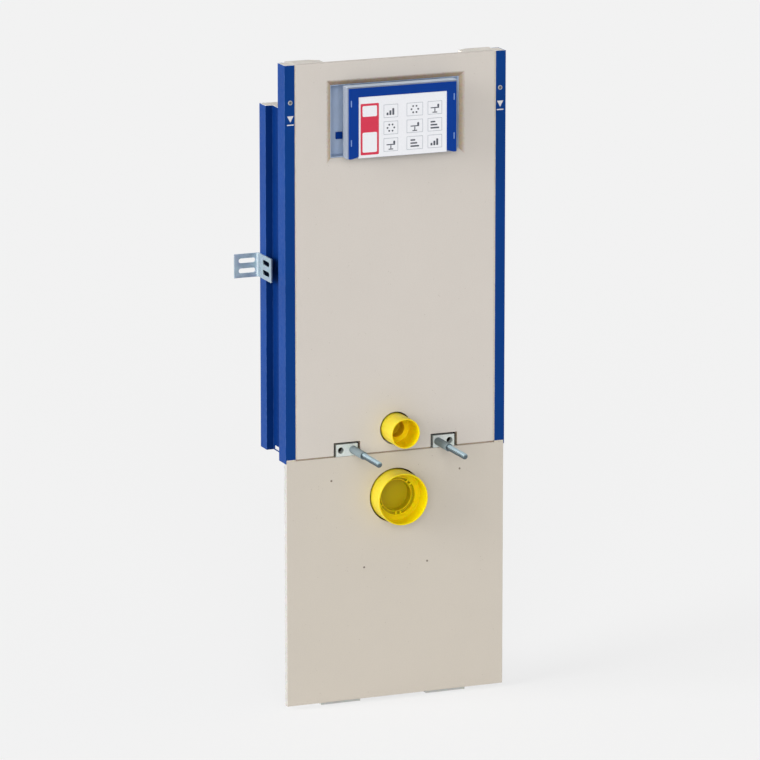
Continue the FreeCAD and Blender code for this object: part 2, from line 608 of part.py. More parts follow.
def flush():
    """The flush pipe from the cistern to the front, with its cap and its union nut."""
    start = "(cap_wall - flush_cap_ledge)"
    turn = f"({FLUSH_BACK} - flush_bend)"
    rise = f"({FLUSH_HEIGHT} + flush_bend)"
    bend = {}
    bore = "(flush_radius - flush_wall)"
    for name, radius, past in (("outer", "flush_radius", "0"), ("bore", bore, str(PAST))):
        bend[name] = join(
            f"flush_{name}",
            round_bar(f"flush_{name}_level", "y", ("0", FLUSH_HEIGHT), (f"{start} - {past}", turn), radius),
            elbow(f"flush_{name}_elbow", "flush_bend", radius, (turn, rise), False),
            round_bar(f"flush_{name}_leg", "z", ("0", FLUSH_BACK), (rise, f"{TANK_FOOT} + {past}"), radius))
    keep("flush_pipe", cut("flush_pipe", bend["outer"], bend["bore"]))
    cap("flush_cap", "flush", FLUSH_HEIGHT, ["(flush_cap_depth - flush_cap_ledge)"])

    axis = ("0", FLUSH_BACK)
    foot = f"{TANK_FOOT} - shelf - flush_nut"
    top = f"{TANK_FOOT} - shelf"
    nut = round_bar("nut_blank", "z", axis, (foot, top), "flush_radius + flush_nut_wall")
    passage = round_bar("nut_bore", "z", axis, (f"{foot} - {PAST}", f"{top} + {PAST}"),
                        "flush_radius + pipe_gap")
    keep("flush_nut", cut("flush_nut", nut, passage))


def cistern():
    """The cistern: a ribbed tank, its lid, the service dome on it, the shelf under it and the water inlet."""
    across = (f"0 - {TANK_SIDE}", TANK_SIDE)
    depth = ("front_fold", TANK_BACK)
    outer = rounded_block("tank_blank", across, depth, (TANK_FOOT, TANK_TOP), "tank_corner")
    hollow = rounded_block("tank_hollow", (f"tank_wall - {TANK_SIDE}", f"{TANK_SIDE} - tank_wall"),
                           ("front_fold + tank_wall", f"{TANK_BACK} - tank_wall"),
                           (f"{TANK_FOOT} + tank_wall", f"{TANK_TOP} + {PAST}"), "tank_corner - tank_wall")
    ribs = []
    for step in (-1, 0, 1):
        middle = f"{step} * tank_rib_pitch"
        ribs.append(block(f"tank_rib_{step + 1}",
                          (f"{middle} - tank_rib_width / 2", f"{middle} + tank_rib_width / 2"),
                          (TANK_BACK, f"{TANK_BACK} + tank_rib"), (TANK_FOOT, TANK_TOP)))
    keep("cistern_tank", join("cistern_tank", cut("tank_shell", outer, hollow), *ribs))

    dome = f"({TANK_SIDE} - lid_side)"
    dome_back = f"({TANK_BACK} - lid_back)"
    seat = f"({TANK_TOP} + lid_lip)"
    top = f"({TANK_TOP} + lid_rise)"
    hand_hole = rounded_block("lid_hole", (f"tank_wall - {dome}", f"{dome} - tank_wall"),
                              ("front_fold + tank_wall", f"{dome_back} - tank_wall"),
                              (f"{TANK_TOP} - {PAST}", f"{top} - tank_wall"), "tank_corner - tank_wall")
    rim = rounded_block("lid_rim", across, depth, (TANK_TOP, seat), "tank_corner")
    keep("cistern_lid", cut("cistern_lid", rim, hand_hole))
    raised = rounded_block("dome_blank", (f"0 - {dome}", dome), ("front_fold", dome_back), (seat, top),
                           "tank_corner")
    keep("service_dome", cut("service_dome", raised, hand_hole))

    bore = "(flush_radius + shelf_gap)"
    plate = block("shelf_blank", (f"0 - {POST_INNER}", POST_INNER),
                  (f"{FLUSH_BACK} - {bore} - shelf_front", TANK_BACK), (f"{TANK_FOOT} - shelf", TANK_FOOT))
    hole = round_bar("shelf_hole", "z", ("0", FLUSH_BACK),
                     (f"{TANK_FOOT} - shelf - {PAST}", f"{TANK_FOOT} + {PAST}"), bore)
    keep("cistern_shelf", cut("cistern_shelf", plate, hole))

    axis = (f"{TANK_SIDE} - inlet_side", "depth - inlet_back")
    stem = round_bar("inlet_stem", "z", axis, (seat, f"{seat} + inlet_length"), "inlet_radius")
    base = round_bar("inlet_seat", "z", axis, (seat, f"{seat} + inlet_base"), "inlet_collar")
    keep("water_inlet", join("water_inlet", stem, base))


def rear_ties():
    """Flat ties of the channels' sheet between the rear flanges."""
    edge = f"({SIDE} - flange)"
    levels = {
        "upper_rear_tie": f"({REAR_TOP} - upper_tie - tie_height)",
        "lower_rear_tie": f"({JOINT} + lower_tie)",
    }
    for name, foot in levels.items():
        keep(name, block(name, (f"0 - {edge}", edge), ("depth - skin", "depth"),
                         (foot, f"{foot} + tie_height")))


def legs():
    """Two legs under the fixing rail, their foot tubes and foot plates, and the brace between them."""
    body = doc.addObject("PartDesign::Body", "leg_body")
    front = "board"
    back = "board + leg_depth"
    outline = rectangle((LEG_INNER, LEG_OUTER), (front, back))
    sketch = profile(body, "leg_outline", "XY_Plane", outline, "leg_foot")
    padded(body, sketch, f"{RAIL_FOOT} - leg_foot")
    bore = block("leg_bore", (f"{LEG_INNER} + leg_wall", f"{LEG_OUTER} - leg_wall"),
                 (f"{front} + leg_wall", f"{back} - leg_wall"),
                 (f"leg_foot - {PAST}", f"{RAIL_FOOT} + {PAST}"))
    keep_pair("leg", cut("right_leg", body, bore))

    inset = "(leg_wall + foot_tube_gap)"
    wall = f"({inset} + leg_wall)"
    tube = block("tube_blank", (f"{LEG_INNER} + {inset}", f"{LEG_OUTER} - {inset}"),
                 (f"{front} + {inset}", f"{back} - {inset}"), ("foot", "foot_tube_top"))
    space = block("tube_space", (f"{LEG_INNER} + {wall}", f"{LEG_OUTER} - {wall}"),
                  (f"{front} + {wall}", f"{back} - {wall}"), (f"foot - {PAST}", f"foot_tube_top + {PAST}"))
    keep_pair("foot_tube", cut("right_foot_tube", tube, space))

    middle = "leg_spacing / 2"
    foot_end = "depth - foot_back"
    plate = block("foot_blank", (f"{middle} - foot_width / 2", f"{middle} + foot_width / 2"),
                  (front, foot_end), ("0", "foot"))
    holes = [round_bar(f"anchor_{step}", "z", (middle, f"{foot_end} - anchor_back - {step} * anchor_spacing"),
                       (f"0 - {PAST}", f"foot + {PAST}"), "anchor_radius") for step in (0, 1)]
    keep_pair("foot_plate", cut("right_foot_plate", plate, *holes))

    span = (f"0 - {LEG_INNER}", LEG_INNER)
    reach = f"{DRAIN_BACK} - {CLIP_RADIUS}"
    rise = (BRACE_FOOT, f"{BRACE_FOOT} + brace_height")
    outer = block("brace_blank", span, (front, reach), rise)
    hollow = block("brace_hollow", (f"{span[0]} - {PAST}", f"{span[1]} + {PAST}"),
                   (f"{front} + brace_wall", f"{reach} - brace_wall"),
                   (f"{rise[0]} - {PAST}", f"{rise[1]} - brace_wall"))
    keep("leg_brace", cut("leg_brace", outer, hollow))


def slot(name, across, level, along, span):
    """A slot with round ends: the axis it cuts along, its height, its low and high ends and its cut."""
    ends = (f"{along[0]} + slot_radius", f"{along[1]} - slot_radius")
    rise = (f"{level} - slot_radius", f"{level} + slot_radius")
    x, y = (ends, span) if across == "y" else (span, ends)
    flat = block(f"{name}_flat", x, y, rise)
    rounds = [round_bar(f"{name}_end_{index}", across, (end, level), span, "slot_radius")
              for index, end in enumerate(ends)]
    return join(name, flat, *rounds)


def wall_brackets():
    """Angle brackets on the channels' rear folds, each leg with two slots."""
    body = doc.addObject("PartDesign::Body", "bracket_body")
    back = "(depth + wall_gap)"
    arm = f"({SIDE} + bracket_arm)"
    corners = [
        (SIDE, f"{back} - bracket_side"), (f"{SIDE} + bracket_wall", f"{back} - bracket_side"),
        (f"{SIDE} + bracket_wall", f"{back} - bracket_wall"), (arm, f"{back} - bracket_wall"),
        (arm, back), (SIDE, back),
    ]
    sketch = profile(body, "bracket_outline", "XY_Plane", corners, "bracket_rise")
    padded(body, sketch, "bracket_height")
    tools = []
    for index, sign in enumerate("-+"):
        level = f"(bracket_rise + bracket_height / 2 {sign} slot_pitch / 2)"
        end = f"{arm} - slot_margin"
        tools.append(slot(f"wall_slot_{index}", "y", level, (f"{end} - slot_length", end),
                          (f"{back} - bracket_wall - {PAST}", f"{back} + {PAST}")))
        front = f"{back} - bracket_side + slot_margin"
        tools.append(slot(f"side_slot_{index}", "x", level, (front, f"{front} + slot_length"),
                          (f"{SIDE} - {PAST}", f"{SIDE} + bracket_wall + {PAST}")))
    keep_pair("wall_bracket", cut("right_wall_bracket", body, *tools))


def write():
    """Checks every object and piece, then writes one file for each piece."""
    doc.recompute()
    for thing in doc.Objects:
        faults = {"Invalid", "Error"} & set(thing.State)
        if faults:
            raise RuntimeError(f"{thing.Label}: {faults}")
    for piece in pieces:
        if piece.Shape.isNull() or not piece.Shape.isValid():
            raise RuntimeError(f"{piece.Label}: the shape is not sound")
    os.makedirs("parts", exist_ok=True)
    for piece in pieces:
        piece.Shape.exportStep(f"parts/{piece.Label}.step")
        print(piece.Label, len(piece.Shape.Solids), round(piece.Shape.Volume))


side_channels()
upper_board()
lower_board()
core_panel()
core_posts()
service_cover()
fixing_rods()
drain()
flush()
cistern()
rear_ties()
legs()
wall_brackets()
write()
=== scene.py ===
"""Looks of a wall hung toilet frame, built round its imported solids."""
import logging
import math
from dataclasses import asdict, dataclass, fields
from enum import Enum, IntEnum
from typing import Callable, Sequence

import bmesh
import bpy
from mathutils import Matrix, Vector


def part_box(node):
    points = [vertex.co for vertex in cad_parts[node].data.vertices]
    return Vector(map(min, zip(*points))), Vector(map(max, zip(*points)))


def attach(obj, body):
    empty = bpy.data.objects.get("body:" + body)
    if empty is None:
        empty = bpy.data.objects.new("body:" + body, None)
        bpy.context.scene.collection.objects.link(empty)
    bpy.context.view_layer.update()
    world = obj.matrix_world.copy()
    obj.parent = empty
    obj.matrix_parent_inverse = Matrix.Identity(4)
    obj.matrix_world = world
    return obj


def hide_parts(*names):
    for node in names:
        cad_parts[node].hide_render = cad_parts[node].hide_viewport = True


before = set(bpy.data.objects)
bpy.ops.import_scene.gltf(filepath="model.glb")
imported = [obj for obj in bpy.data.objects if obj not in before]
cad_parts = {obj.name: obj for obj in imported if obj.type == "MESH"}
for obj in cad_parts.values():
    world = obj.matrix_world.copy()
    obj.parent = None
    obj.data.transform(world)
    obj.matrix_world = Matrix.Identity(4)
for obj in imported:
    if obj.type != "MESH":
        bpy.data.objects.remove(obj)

LOG = logging.getLogger("toilet_frame")
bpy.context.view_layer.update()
MM = 0.001
SIDES = {"left": -1, "right": 1}
SIGNS = tuple(SIDES.values())

# Range that most of a noise's values lie in, and the whole range of a share.
MIDDLE = (0.3, 0.7)
FULL = (0.0, 1.0)
# Sockets of the Mix node that carry its share, its two colours and the mixed colour.
MIX_INPUTS = (0, 6, 7)
MIX_RESULT = 2
# Smallest part of a normal along an axis that counts as facing it squarely.
SQUARE = 0.9

Colour = tuple[float, float, float]
Point = tuple[float, float, float]
Pair = tuple[float, float]
Outline = Sequence[Pair]
Material = bpy.types.Material
Piece = bpy.types.Object
Socket = bpy.types.NodeSocket


class Slot(str, Enum):
    """Material slots of the record that pieces take their finish from."""

    STEEL = "blue_steel"
    BOARD = "cement_board"
    CORE = "light_concrete"
    ZINC = "zinc_steel"
    YELLOW = "yellow_plastic"
    BLACK = "black_plastic"
    GREY = "grey_plastic"
    BLUE = "blue_plastic"
    CARD = "printed_card"
    SLEEVE = "grey_sleeve"
    BRASS = "brass"


class Axis(Enum):
    """Directions that turned shapes and fasteners stand along."""

    FRONT = (0.0, -1.0, 0.0)
    BACK = (0.0, 1.0, 0.0)
    UP = (0.0, 0.0, 1.0)
    LEFT = (-1.0, 0.0, 0.0)
    RIGHT = (1.0, 0.0, 0.0)


class Edge(float, Enum):
    """Widths of rounded edges, in millimetres."""

    PAPER = 0.2
    TONGUE = 0.25
    FINE = 0.3
    THIN = 0.4
    SHEET = 0.5
    PLATE = 0.6
    BOARD = 0.7
    SOCKET = 0.8
    MOULDED = 1.0
    BROAD = 1.2


class ChannelCoat(IntEnum):
    """Finishes of a side channel, in the order of its materials."""

    COAT = 0
    CUT = 1
    GROOVE_SHADE = 2


class BoardCoat(IntEnum):
    """Finishes of a board, in the order of its materials."""

    FACE = 0
    EDGE = 1
    SHADE = 2
    SIDE = 3


def screen(red: int, green: int, blue: int) -> Colour:
    """Turns screen values of 0 to 255 into linear light.

    Args:
        red: Red screen value.
        green: Green screen value.
        blue: Blue screen value.

    Returns:
        The three linear values.
    """
    parts = [value / 255 for value in (red, green, blue)]
    low, mid, high = (v / 12.92 if v <= 0.04045 else ((v + 0.055) / 1.055) ** 2.4 for v in parts)
    return low, mid, high


def scaled(colour: Colour, factor: float = 1.0) -> tuple[float, float, float, float]:
    """Gives a colour some times as light, with an alpha of one."""
    return colour[0] * factor, colour[1] * factor, colour[2] * factor, 1.0


def emptied_tree(owner: bpy.types.Material | bpy.types.World) -> bpy.types.NodeTree:
    """Turns on the nodes of a material or a world and clears them.

    Args:
        owner: Material or world.

    Returns:
        Its empty tree.
    """
    owner.use_nodes = True
    owner.node_tree.nodes.clear()
    return owner.node_tree


class NodeBench:
    """A node tree under construction, with short calls that add nodes and join them."""

    def __init__(self, tree: bpy.types.NodeTree) -> None:
        """Takes the tree that nodes are added to."""
        self.tree = tree

    def feed(self, target: Socket, value: object) -> None:
        """Links a socket to an input, or sets a plain value on it.

        Args:
            target: Input to feed.
            value: Output socket or plain value.
        """
        if isinstance(value, bpy.types.NodeSocket):
            self.tree.links.new(value, target)
        else:
            target.default_value = value

    def node(self, kind: str, inputs: dict[str | int, object] | None = None,
             **settings: object) -> bpy.types.Node:
        """Adds a node.

        Args:
            kind: Blender's name of the node.
            inputs: Sockets or plain values for its inputs, by name or index.
            **settings: Attributes set on the node.

        Returns:
            The new node.
        """
        made = self.tree.nodes.new(kind)
        for key, value in settings.items():
            setattr(made, key, value)
        for key, value in (inputs or {}).items():
            self.feed(made.inputs[key], value)
        return made

    def maths(self, operation: str, first: object, second: object) -> Socket:
        """Combines two numbers by an operation of the Math node."""
        return self.node("ShaderNodeMath", {0: first, 1: second}, operation=operation).outputs[0]

    def times(self, first: object, second: object) -> Socket:
        """Multiplies two numbers."""
        return self.maths("MULTIPLY", first, second)


class Bench(NodeBench):
    """A material under construction, with short calls for the patterns that make it."""

    def __init__(self, name: str) -> None:
        """Starts a material with a principled shader.

        Args:
            name: Name of the material.
        """
        self.material = bpy.data.materials.new(name)
        super().__init__(emptied_tree(self.material))
        self.shader = self.node("ShaderNodeBsdfPrincipled")
        self.node("ShaderNodeOutputMaterial", {"Surface": self.shader.outputs["BSDF"]})
        self.place = self.node("ShaderNodeTexCoord").outputs["Object"]

    def stretched(self, scale: Point) -> Socket:
        """Object coordinates scaled by axis, for a grain that runs one way."""
        return self.node("ShaderNodeMapping", {"Vector": self.place, "Scale": scale}).outputs["Vector"]

    def noise(self, scale: float, detail: float = 4.0, rough: float = 0.55,
              at: Socket | None = None) -> Socket:
        """Adds noise.

        Args:
            scale: Waves in a metre.
            detail: Number of finer layers.
            rough: Weight of the finer layers.
            at: Coordinates, or the object's own.

        Returns:
            The noise's value.
        """
        inputs = {"Vector": at or self.place, "Scale": scale, "Detail": detail, "Roughness": rough}
        return self.node("ShaderNodeTexNoise", inputs).outputs["Fac"]

    def cells(self, scale: float, output: str = "Distance") -> Socket:
        """One of the outputs of a pattern of cells, given by their number in a metre."""
        return self.node("ShaderNodeTexVoronoi", {"Vector": self.place, "Scale": scale}).outputs[output]

    def span(self, value: Socket, old: Pair, new: Pair = FULL) -> Socket:
        """Maps a value from one range to another.

        Args:
            value: Value to map.
            old: Range that it has.
            new: Range that it gets.

        Returns:
            The mapped value, kept within its new range.
        """
        ends = dict(zip(("From Min", "From Max", "To Min", "To Max"), (*old, *new)))
        return self.node("ShaderNodeMapRange", {"Value": value, **ends}).outputs["Result"]

    def mix(self, factor: object, first: object, second: object, blend: str = "MIX") -> Socket:
        """Mixes two colours.

        Args:
            factor: Share of the second colour.
            first: First colour.
            second: Second colour.
            blend: Way of mixing.

        Returns:
            The mixed colour.
        """
        inputs = dict(zip(MIX_INPUTS, (factor, first, second)))
        return self.node("ShaderNodeMix", inputs, data_type="RGBA", blend_type=blend).outputs[MIX_RESULT]

    def along(self, axis: int) -> Socket:
        """One of the object's coordinates, 0 to 2."""
        return self.node("ShaderNodeSeparateXYZ", {0: self.place}).outputs[axis]

    def radius(self, x: float, z: float) -> Socket:
        """Distance from a line that runs from front to back.

        Args:
            x: X of the line.
            z: Z of the line.

        Returns:
            The distance.
        """
        kind = "ShaderNodeVectorMath"
        offset = self.node(kind, {0: self.place, 1: (x, 0.0, z)}, operation="SUBTRACT").outputs[0]
        flat = self.node(kind, {0: offset, 1: (1.0, 0.0, 1.0)}, operation="MULTIPLY").outputs[0]
        return self.node(kind, {0: flat}, operation="LENGTH").outputs["Value"]

    def edges(self) -> Socket:
        """The mark that softened edges carry."""
        return self.node("ShaderNodeAttribute", attribute_name="edge").outputs["Fac"]

    def emboss(self, height: Socket, depth: float, strength: float) -> None:
        """Adds relief on top of the relief that is already there.

        Args:
            height: Height pattern.
            depth: Depth of the relief in metres.
            strength: How much of it shows.
        """
        made = self.node("ShaderNodeBump", {"Distance": depth, "Strength": strength, "Height": height})
        target = self.shader.inputs["Normal"]
        if target.links:
            self.feed(made.inputs["Normal"], target.links[0].from_socket)
        self.feed(target, made.outputs["Normal"])

    def finish(self, colour: object, rough: object, metal: float = 0.0, **extra: float) -> Material:
        """Feeds the shader.

        Args:
            colour: Base colour.
            rough: Roughness.
            metal: Metallic value.
            **extra: Plain values for other sockets, with spaces written as underscores.

        Returns:
            The finished material.
        """
        self.feed(self.shader.inputs["Base Color"], colour)
        self.feed(self.shader.inputs["Roughness"], rough)
        self.shader.inputs["Metallic"].default_value = metal
        for key, value in extra.items():
            self.shader.inputs[key.replace("_", " ")].default_value = value
        return self.material


@dataclass(frozen=True)
class PowderCoat:
    """Baked paint on sheet steel, with a fine peel and a lighter colour on its folds that is partly wear and
    partly a painted highlight.
    """

    name: str
    colour: Colour
    edge_lit_and_worn: Colour
    rough: float = 0.42
    gloss: float = 0.065
    cloud: float = 9.0
    rub: float = 60.0
    dull: float = 120.0
    peel: float = 650.0
    peel_depth: float = 0.00006

    def make(self) -> Material:
        """Builds the material.

        Returns:
            The finished material.
        """
        bench = Bench(self.name)
        cloud = bench.span(bench.noise(self.cloud, 3.0), MIDDLE)
        paint = bench.mix(cloud, scaled(self.colour, 0.93), scaled(self.colour, 1.06))
        rub = bench.span(bench.noise(self.rub, 5.0, 0.7), (0.42, 0.62), (0.1, 0.6))
        # Lighter on rounded edges in rubbed patches: partly wear, partly a painted highlight.
        wear_and_highlight = bench.times(bench.edges(), rub)
        bench.emboss(bench.noise(self.peel, 2.0), self.peel_depth, 0.5)
        rough = bench.span(bench.noise(self.dull), MIDDLE, (self.rough - 0.05, self.rough + 0.07))
        return bench.finish(bench.mix(wear_and_highlight, paint, scaled(self.edge_lit_and_worn)), rough, Specular_IOR_Level=self.gloss)


@dataclass(frozen=True)
class CementBoard:
    """Pressed cement board: fine speckle, faint trowel clouds and small pits."""

    name: str
    colour: Colour
    pit: Colour
    contrast: float = 0.05
    cloud: float = 5.0
    speckle: float = 520.0
    speckle_depth: float = 0.00012
    pits: float = 170.0
    pit_patches: float = 46.0
    pit_depth: float = 0.0003
    fibre: float = 40.0
    fibre_run: Point = (9.0, 9.0, 0.7)

    def make(self) -> Material:
        """Builds the material.

        Returns:
            The finished material.
        """
        bench = Bench(self.name)
        shades = [scaled(self.colour, 1.0 + share * self.contrast) for share in (-1.0, -0.6, 0.4, 1.0)]
        cloud = bench.span(bench.noise(self.cloud, 5.0, 0.6), MIDDLE)
        base = bench.mix(cloud, shades[1], shades[2])
        grain = bench.noise(self.speckle, 3.0, 0.7)
        base = bench.mix(0.5, base, bench.mix(bench.span(grain, (0.35, 0.65)), shades[0], shades[3]))
        pores = bench.span(bench.cells(self.pits), (0.05, 0.16), (1.0, 0.0))
        pits = bench.times(pores, bench.span(bench.noise(self.pit_patches, 2.0), (0.56, 0.66), (0.0, 0.8)))
        fibre = bench.noise(self.fibre, 6.0, 0.7, bench.stretched(self.fibre_run))
        base = bench.mix(bench.span(fibre, (0.55, 0.75), (0.0, 0.25)), base, scaled(self.colour, 0.9))
        bench.emboss(grain, self.speckle_depth, 0.6)
        bench.emboss(bench.maths("SUBTRACT", 1.0, pits), self.pit_depth, 0.5)
        rough = bench.span(grain, MIDDLE, (0.82, 0.95))
        return bench.finish(bench.mix(pits, base, scaled(self.pit)), rough, Specular_IOR_Level=0.3)


@dataclass(frozen=True)
class LightConcrete:
    """Cast light concrete: pores of several sizes, beads of aggregate and, where given, a tinted front."""

    name: str
    colour: Colour
    pore: Colour
    face: Colour | None = None
    face_reach: float = 0.003
    cloud: float = 14.0
    large_pores: float = 120.0
    small_pores: float = 420.0
    pore_depth: float = 0.0007
    beads: float = 260.0
    sand: float = 900.0
    sand_depth: float = 0.0002

    def make(self) -> Material:
        """Builds the material.

        Returns:
            The finished material.
        """
        bench = Bench(self.name)
        cloud = bench.span(bench.noise(self.cloud, 6.0, 0.65), MIDDLE)
        base = bench.mix(cloud, scaled(self.colour, 0.9), scaled(self.colour, 1.07))
        if self.face is not None:
            near = bench.span(bench.along(1), (0.0, self.face_reach), (1.0, 0.0))
            base = bench.mix(near, base, scaled(self.face))
        large = bench.span(bench.cells(self.large_pores), (0.1, 0.28), (1.0, 0.0))
        small = bench.span(bench.cells(self.small_pores), (0.1, 0.35), (0.8, 0.0))
        pores = bench.maths("MAXIMUM", bench.times(large, cloud), small)
        base = bench.mix(0.12, base, bench.cells(self.beads, "Color"), "SOFT_LIGHT")
        bench.emboss(bench.maths("SUBTRACT", 1.0, pores), self.pore_depth, 0.7)
        bench.emboss(bench.noise(self.sand, 4.0, 0.7), self.sand_depth, 0.6)
        base = bench.mix(bench.times(pores, 0.55), base, scaled(self.pore))
        return bench.finish(base, 0.93, Specular_IOR_Level=0.25)


@dataclass(frozen=True)
class ZincSteel:
    """Zinc plated steel: flakes, lines along one axis, dull patches, a painted highlight on rounded edges
    and, where given, painted shade on a rod's underside.
    """

    name: str
    colour: Colour
    lines: Point = (1.0, 1.0, 1.0)
    rough: float = 0.38
    flake: float = 90.0
    metal: float = 0.85
    # Heights over which a rod's underside darkens: painted shade.
    under: Pair | None = None
    drawn: float = 260.0
    drawn_depth: float = 0.00004
    haze: float = 26.0
    dull: float = 70.0

    def make(self) -> Material:
        """Builds the material.

        Returns:
            The finished material.
        """
        bench = Bench(self.name)
        base = bench.mix(0.1, scaled(self.colour), bench.cells(self.flake, "Color"), "SOFT_LIGHT")
        drawn = bench.noise(self.drawn, 4.0, 0.7, bench.stretched(self.lines))
        base = bench.mix(bench.span(drawn, (0.4, 0.7), (0.0, 0.35)), base, scaled(self.colour, 0.78))
        haze = bench.span(bench.noise(self.haze, 5.0, 0.6), (0.35, 0.7), (0.0, 0.3))
        base = bench.mix(haze, base, scaled(self.colour, 1.12))
        # Darker below a given height: painted shade on the rod's underside.
        if self.under is not None:
            painted_shade_below = bench.span(bench.along(2), self.under, (0.92, 0.0))
            base = bench.mix(painted_shade_below, base, scaled(self.colour, 0.2))
        # Lighter on rounded edges: painted highlight.
        base = bench.mix(bench.times(bench.edges(), 0.35), base, scaled(self.colour, 1.3))
        bench.emboss(drawn, self.drawn_depth, 0.5)
        rough = bench.span(bench.noise(self.dull), MIDDLE, (self.rough - 0.08, self.rough + 0.12))
        return bench.finish(base, rough, self.metal, Specular_IOR_Level=0.5)


@dataclass(frozen=True)
class CupLightAndShade:
    """Painted light inside a round cap, a brighter and fuller yellow on its wall, and painted shade that
    deepens towards the floor of its cup.
    """

    middle: float
    reach: float
    wall: Colour
    deep: Colour
    fall: Pair
    blur: float = 0.0008

    def over(self, bench: Bench, base: Socket) -> Socket:
        """Lays the painted light and shade over a base colour.

        Args:
            bench: Material under construction.
            base: Colour of the outside.

        Returns:
            The colour with the painted light and shade.
        """
        rim = (self.reach - self.blur, self.reach + self.blur)
        within = bench.span(bench.radius(0.0, self.middle), rim, (1.0, 0.0))
        # From the lit wall to the shaded floor along the depth: painted light and shade.
        inner = bench.mix(bench.span(bench.along(1), self.fall), scaled(self.wall), scaled(self.deep))
        return bench.mix(within, base, inner)


@dataclass(frozen=True)
class MouldedPlastic:
    """Moulded plastic with a fine spark grain, flow clouds, a painted highlight on its rounded edges and, in
    a cap, painted light and shade in its cup.
    """

    name: str
    colour: Colour
    rough: float = 0.45
    grain: float = 1400.0
    depth: float = 0.00004
    cloud: float = 0.05
    gloss: float = 0.12
    thin: float = 0.0
    # Painted light and shade inside a cap's cup, where given.
    cup: CupLightAndShade | None = None
    flow: float = 18.0
    scatter: float = 0.004

    def make(self) -> Material:
        """Builds the material.

        Returns:
            The finished material.
        """
        bench = Bench(self.name)
        flow = bench.span(bench.noise(self.flow), MIDDLE)
        base = bench.mix(flow, scaled(self.colour, 1.0 - self.cloud), scaled(self.colour, 1.0 + self.cloud))
        if self.cup is not None:
            base = self.cup.over(bench, base)
        # Lighter on rounded edges: painted highlight.
        base = bench.mix(bench.times(bench.edges(), 0.25), base, scaled(self.colour, 1.35))
        spark = bench.noise(self.grain, 2.0, 0.6)
        bench.emboss(spark, self.depth, 0.6)
        rough = bench.span(spark, MIDDLE, (self.rough - 0.05, self.rough + 0.08))
        return bench.finish(base, rough, Specular_IOR_Level=self.gloss, Subsurface_Weight=self.thin,
                            Subsurface_Scale=self.scatter)


@dataclass(frozen=True)
class CardPaper:
    """Coated card, printed in one colour: soft fibres and a faint sheen."""

    name: str
    colour: Colour
    rough: float = 0.5
    fibre: float = 900.0
    fibre_run: Point = (1.0, 1.0, 0.35)
    fibre_depth: float = 0.00003
    warp: float = 24.0
    warp_depth: float = 0.0004

    def make(self) -> Material:
        """Builds the material.

        Returns:
            The finished material.
        """
        bench = Bench(self.name)
        fibre = bench.noise(self.fibre, 5.0, 0.7, bench.stretched(self.fibre_run))
        tone = bench.span(fibre, (0.35, 0.65))
        base = bench.mix(tone, scaled(self.colour, 0.965), scaled(self.colour, 1.02))
        warp = bench.noise(self.warp, 2.0)
        bench.emboss(warp, self.warp_depth, 0.35)
        bench.emboss(fibre, self.fibre_depth, 0.5)
        rough = bench.span(warp, MIDDLE, (self.rough - 0.06, self.rough + 0.08))
        return bench.finish(base, rough, Specular_IOR_Level=0.4)


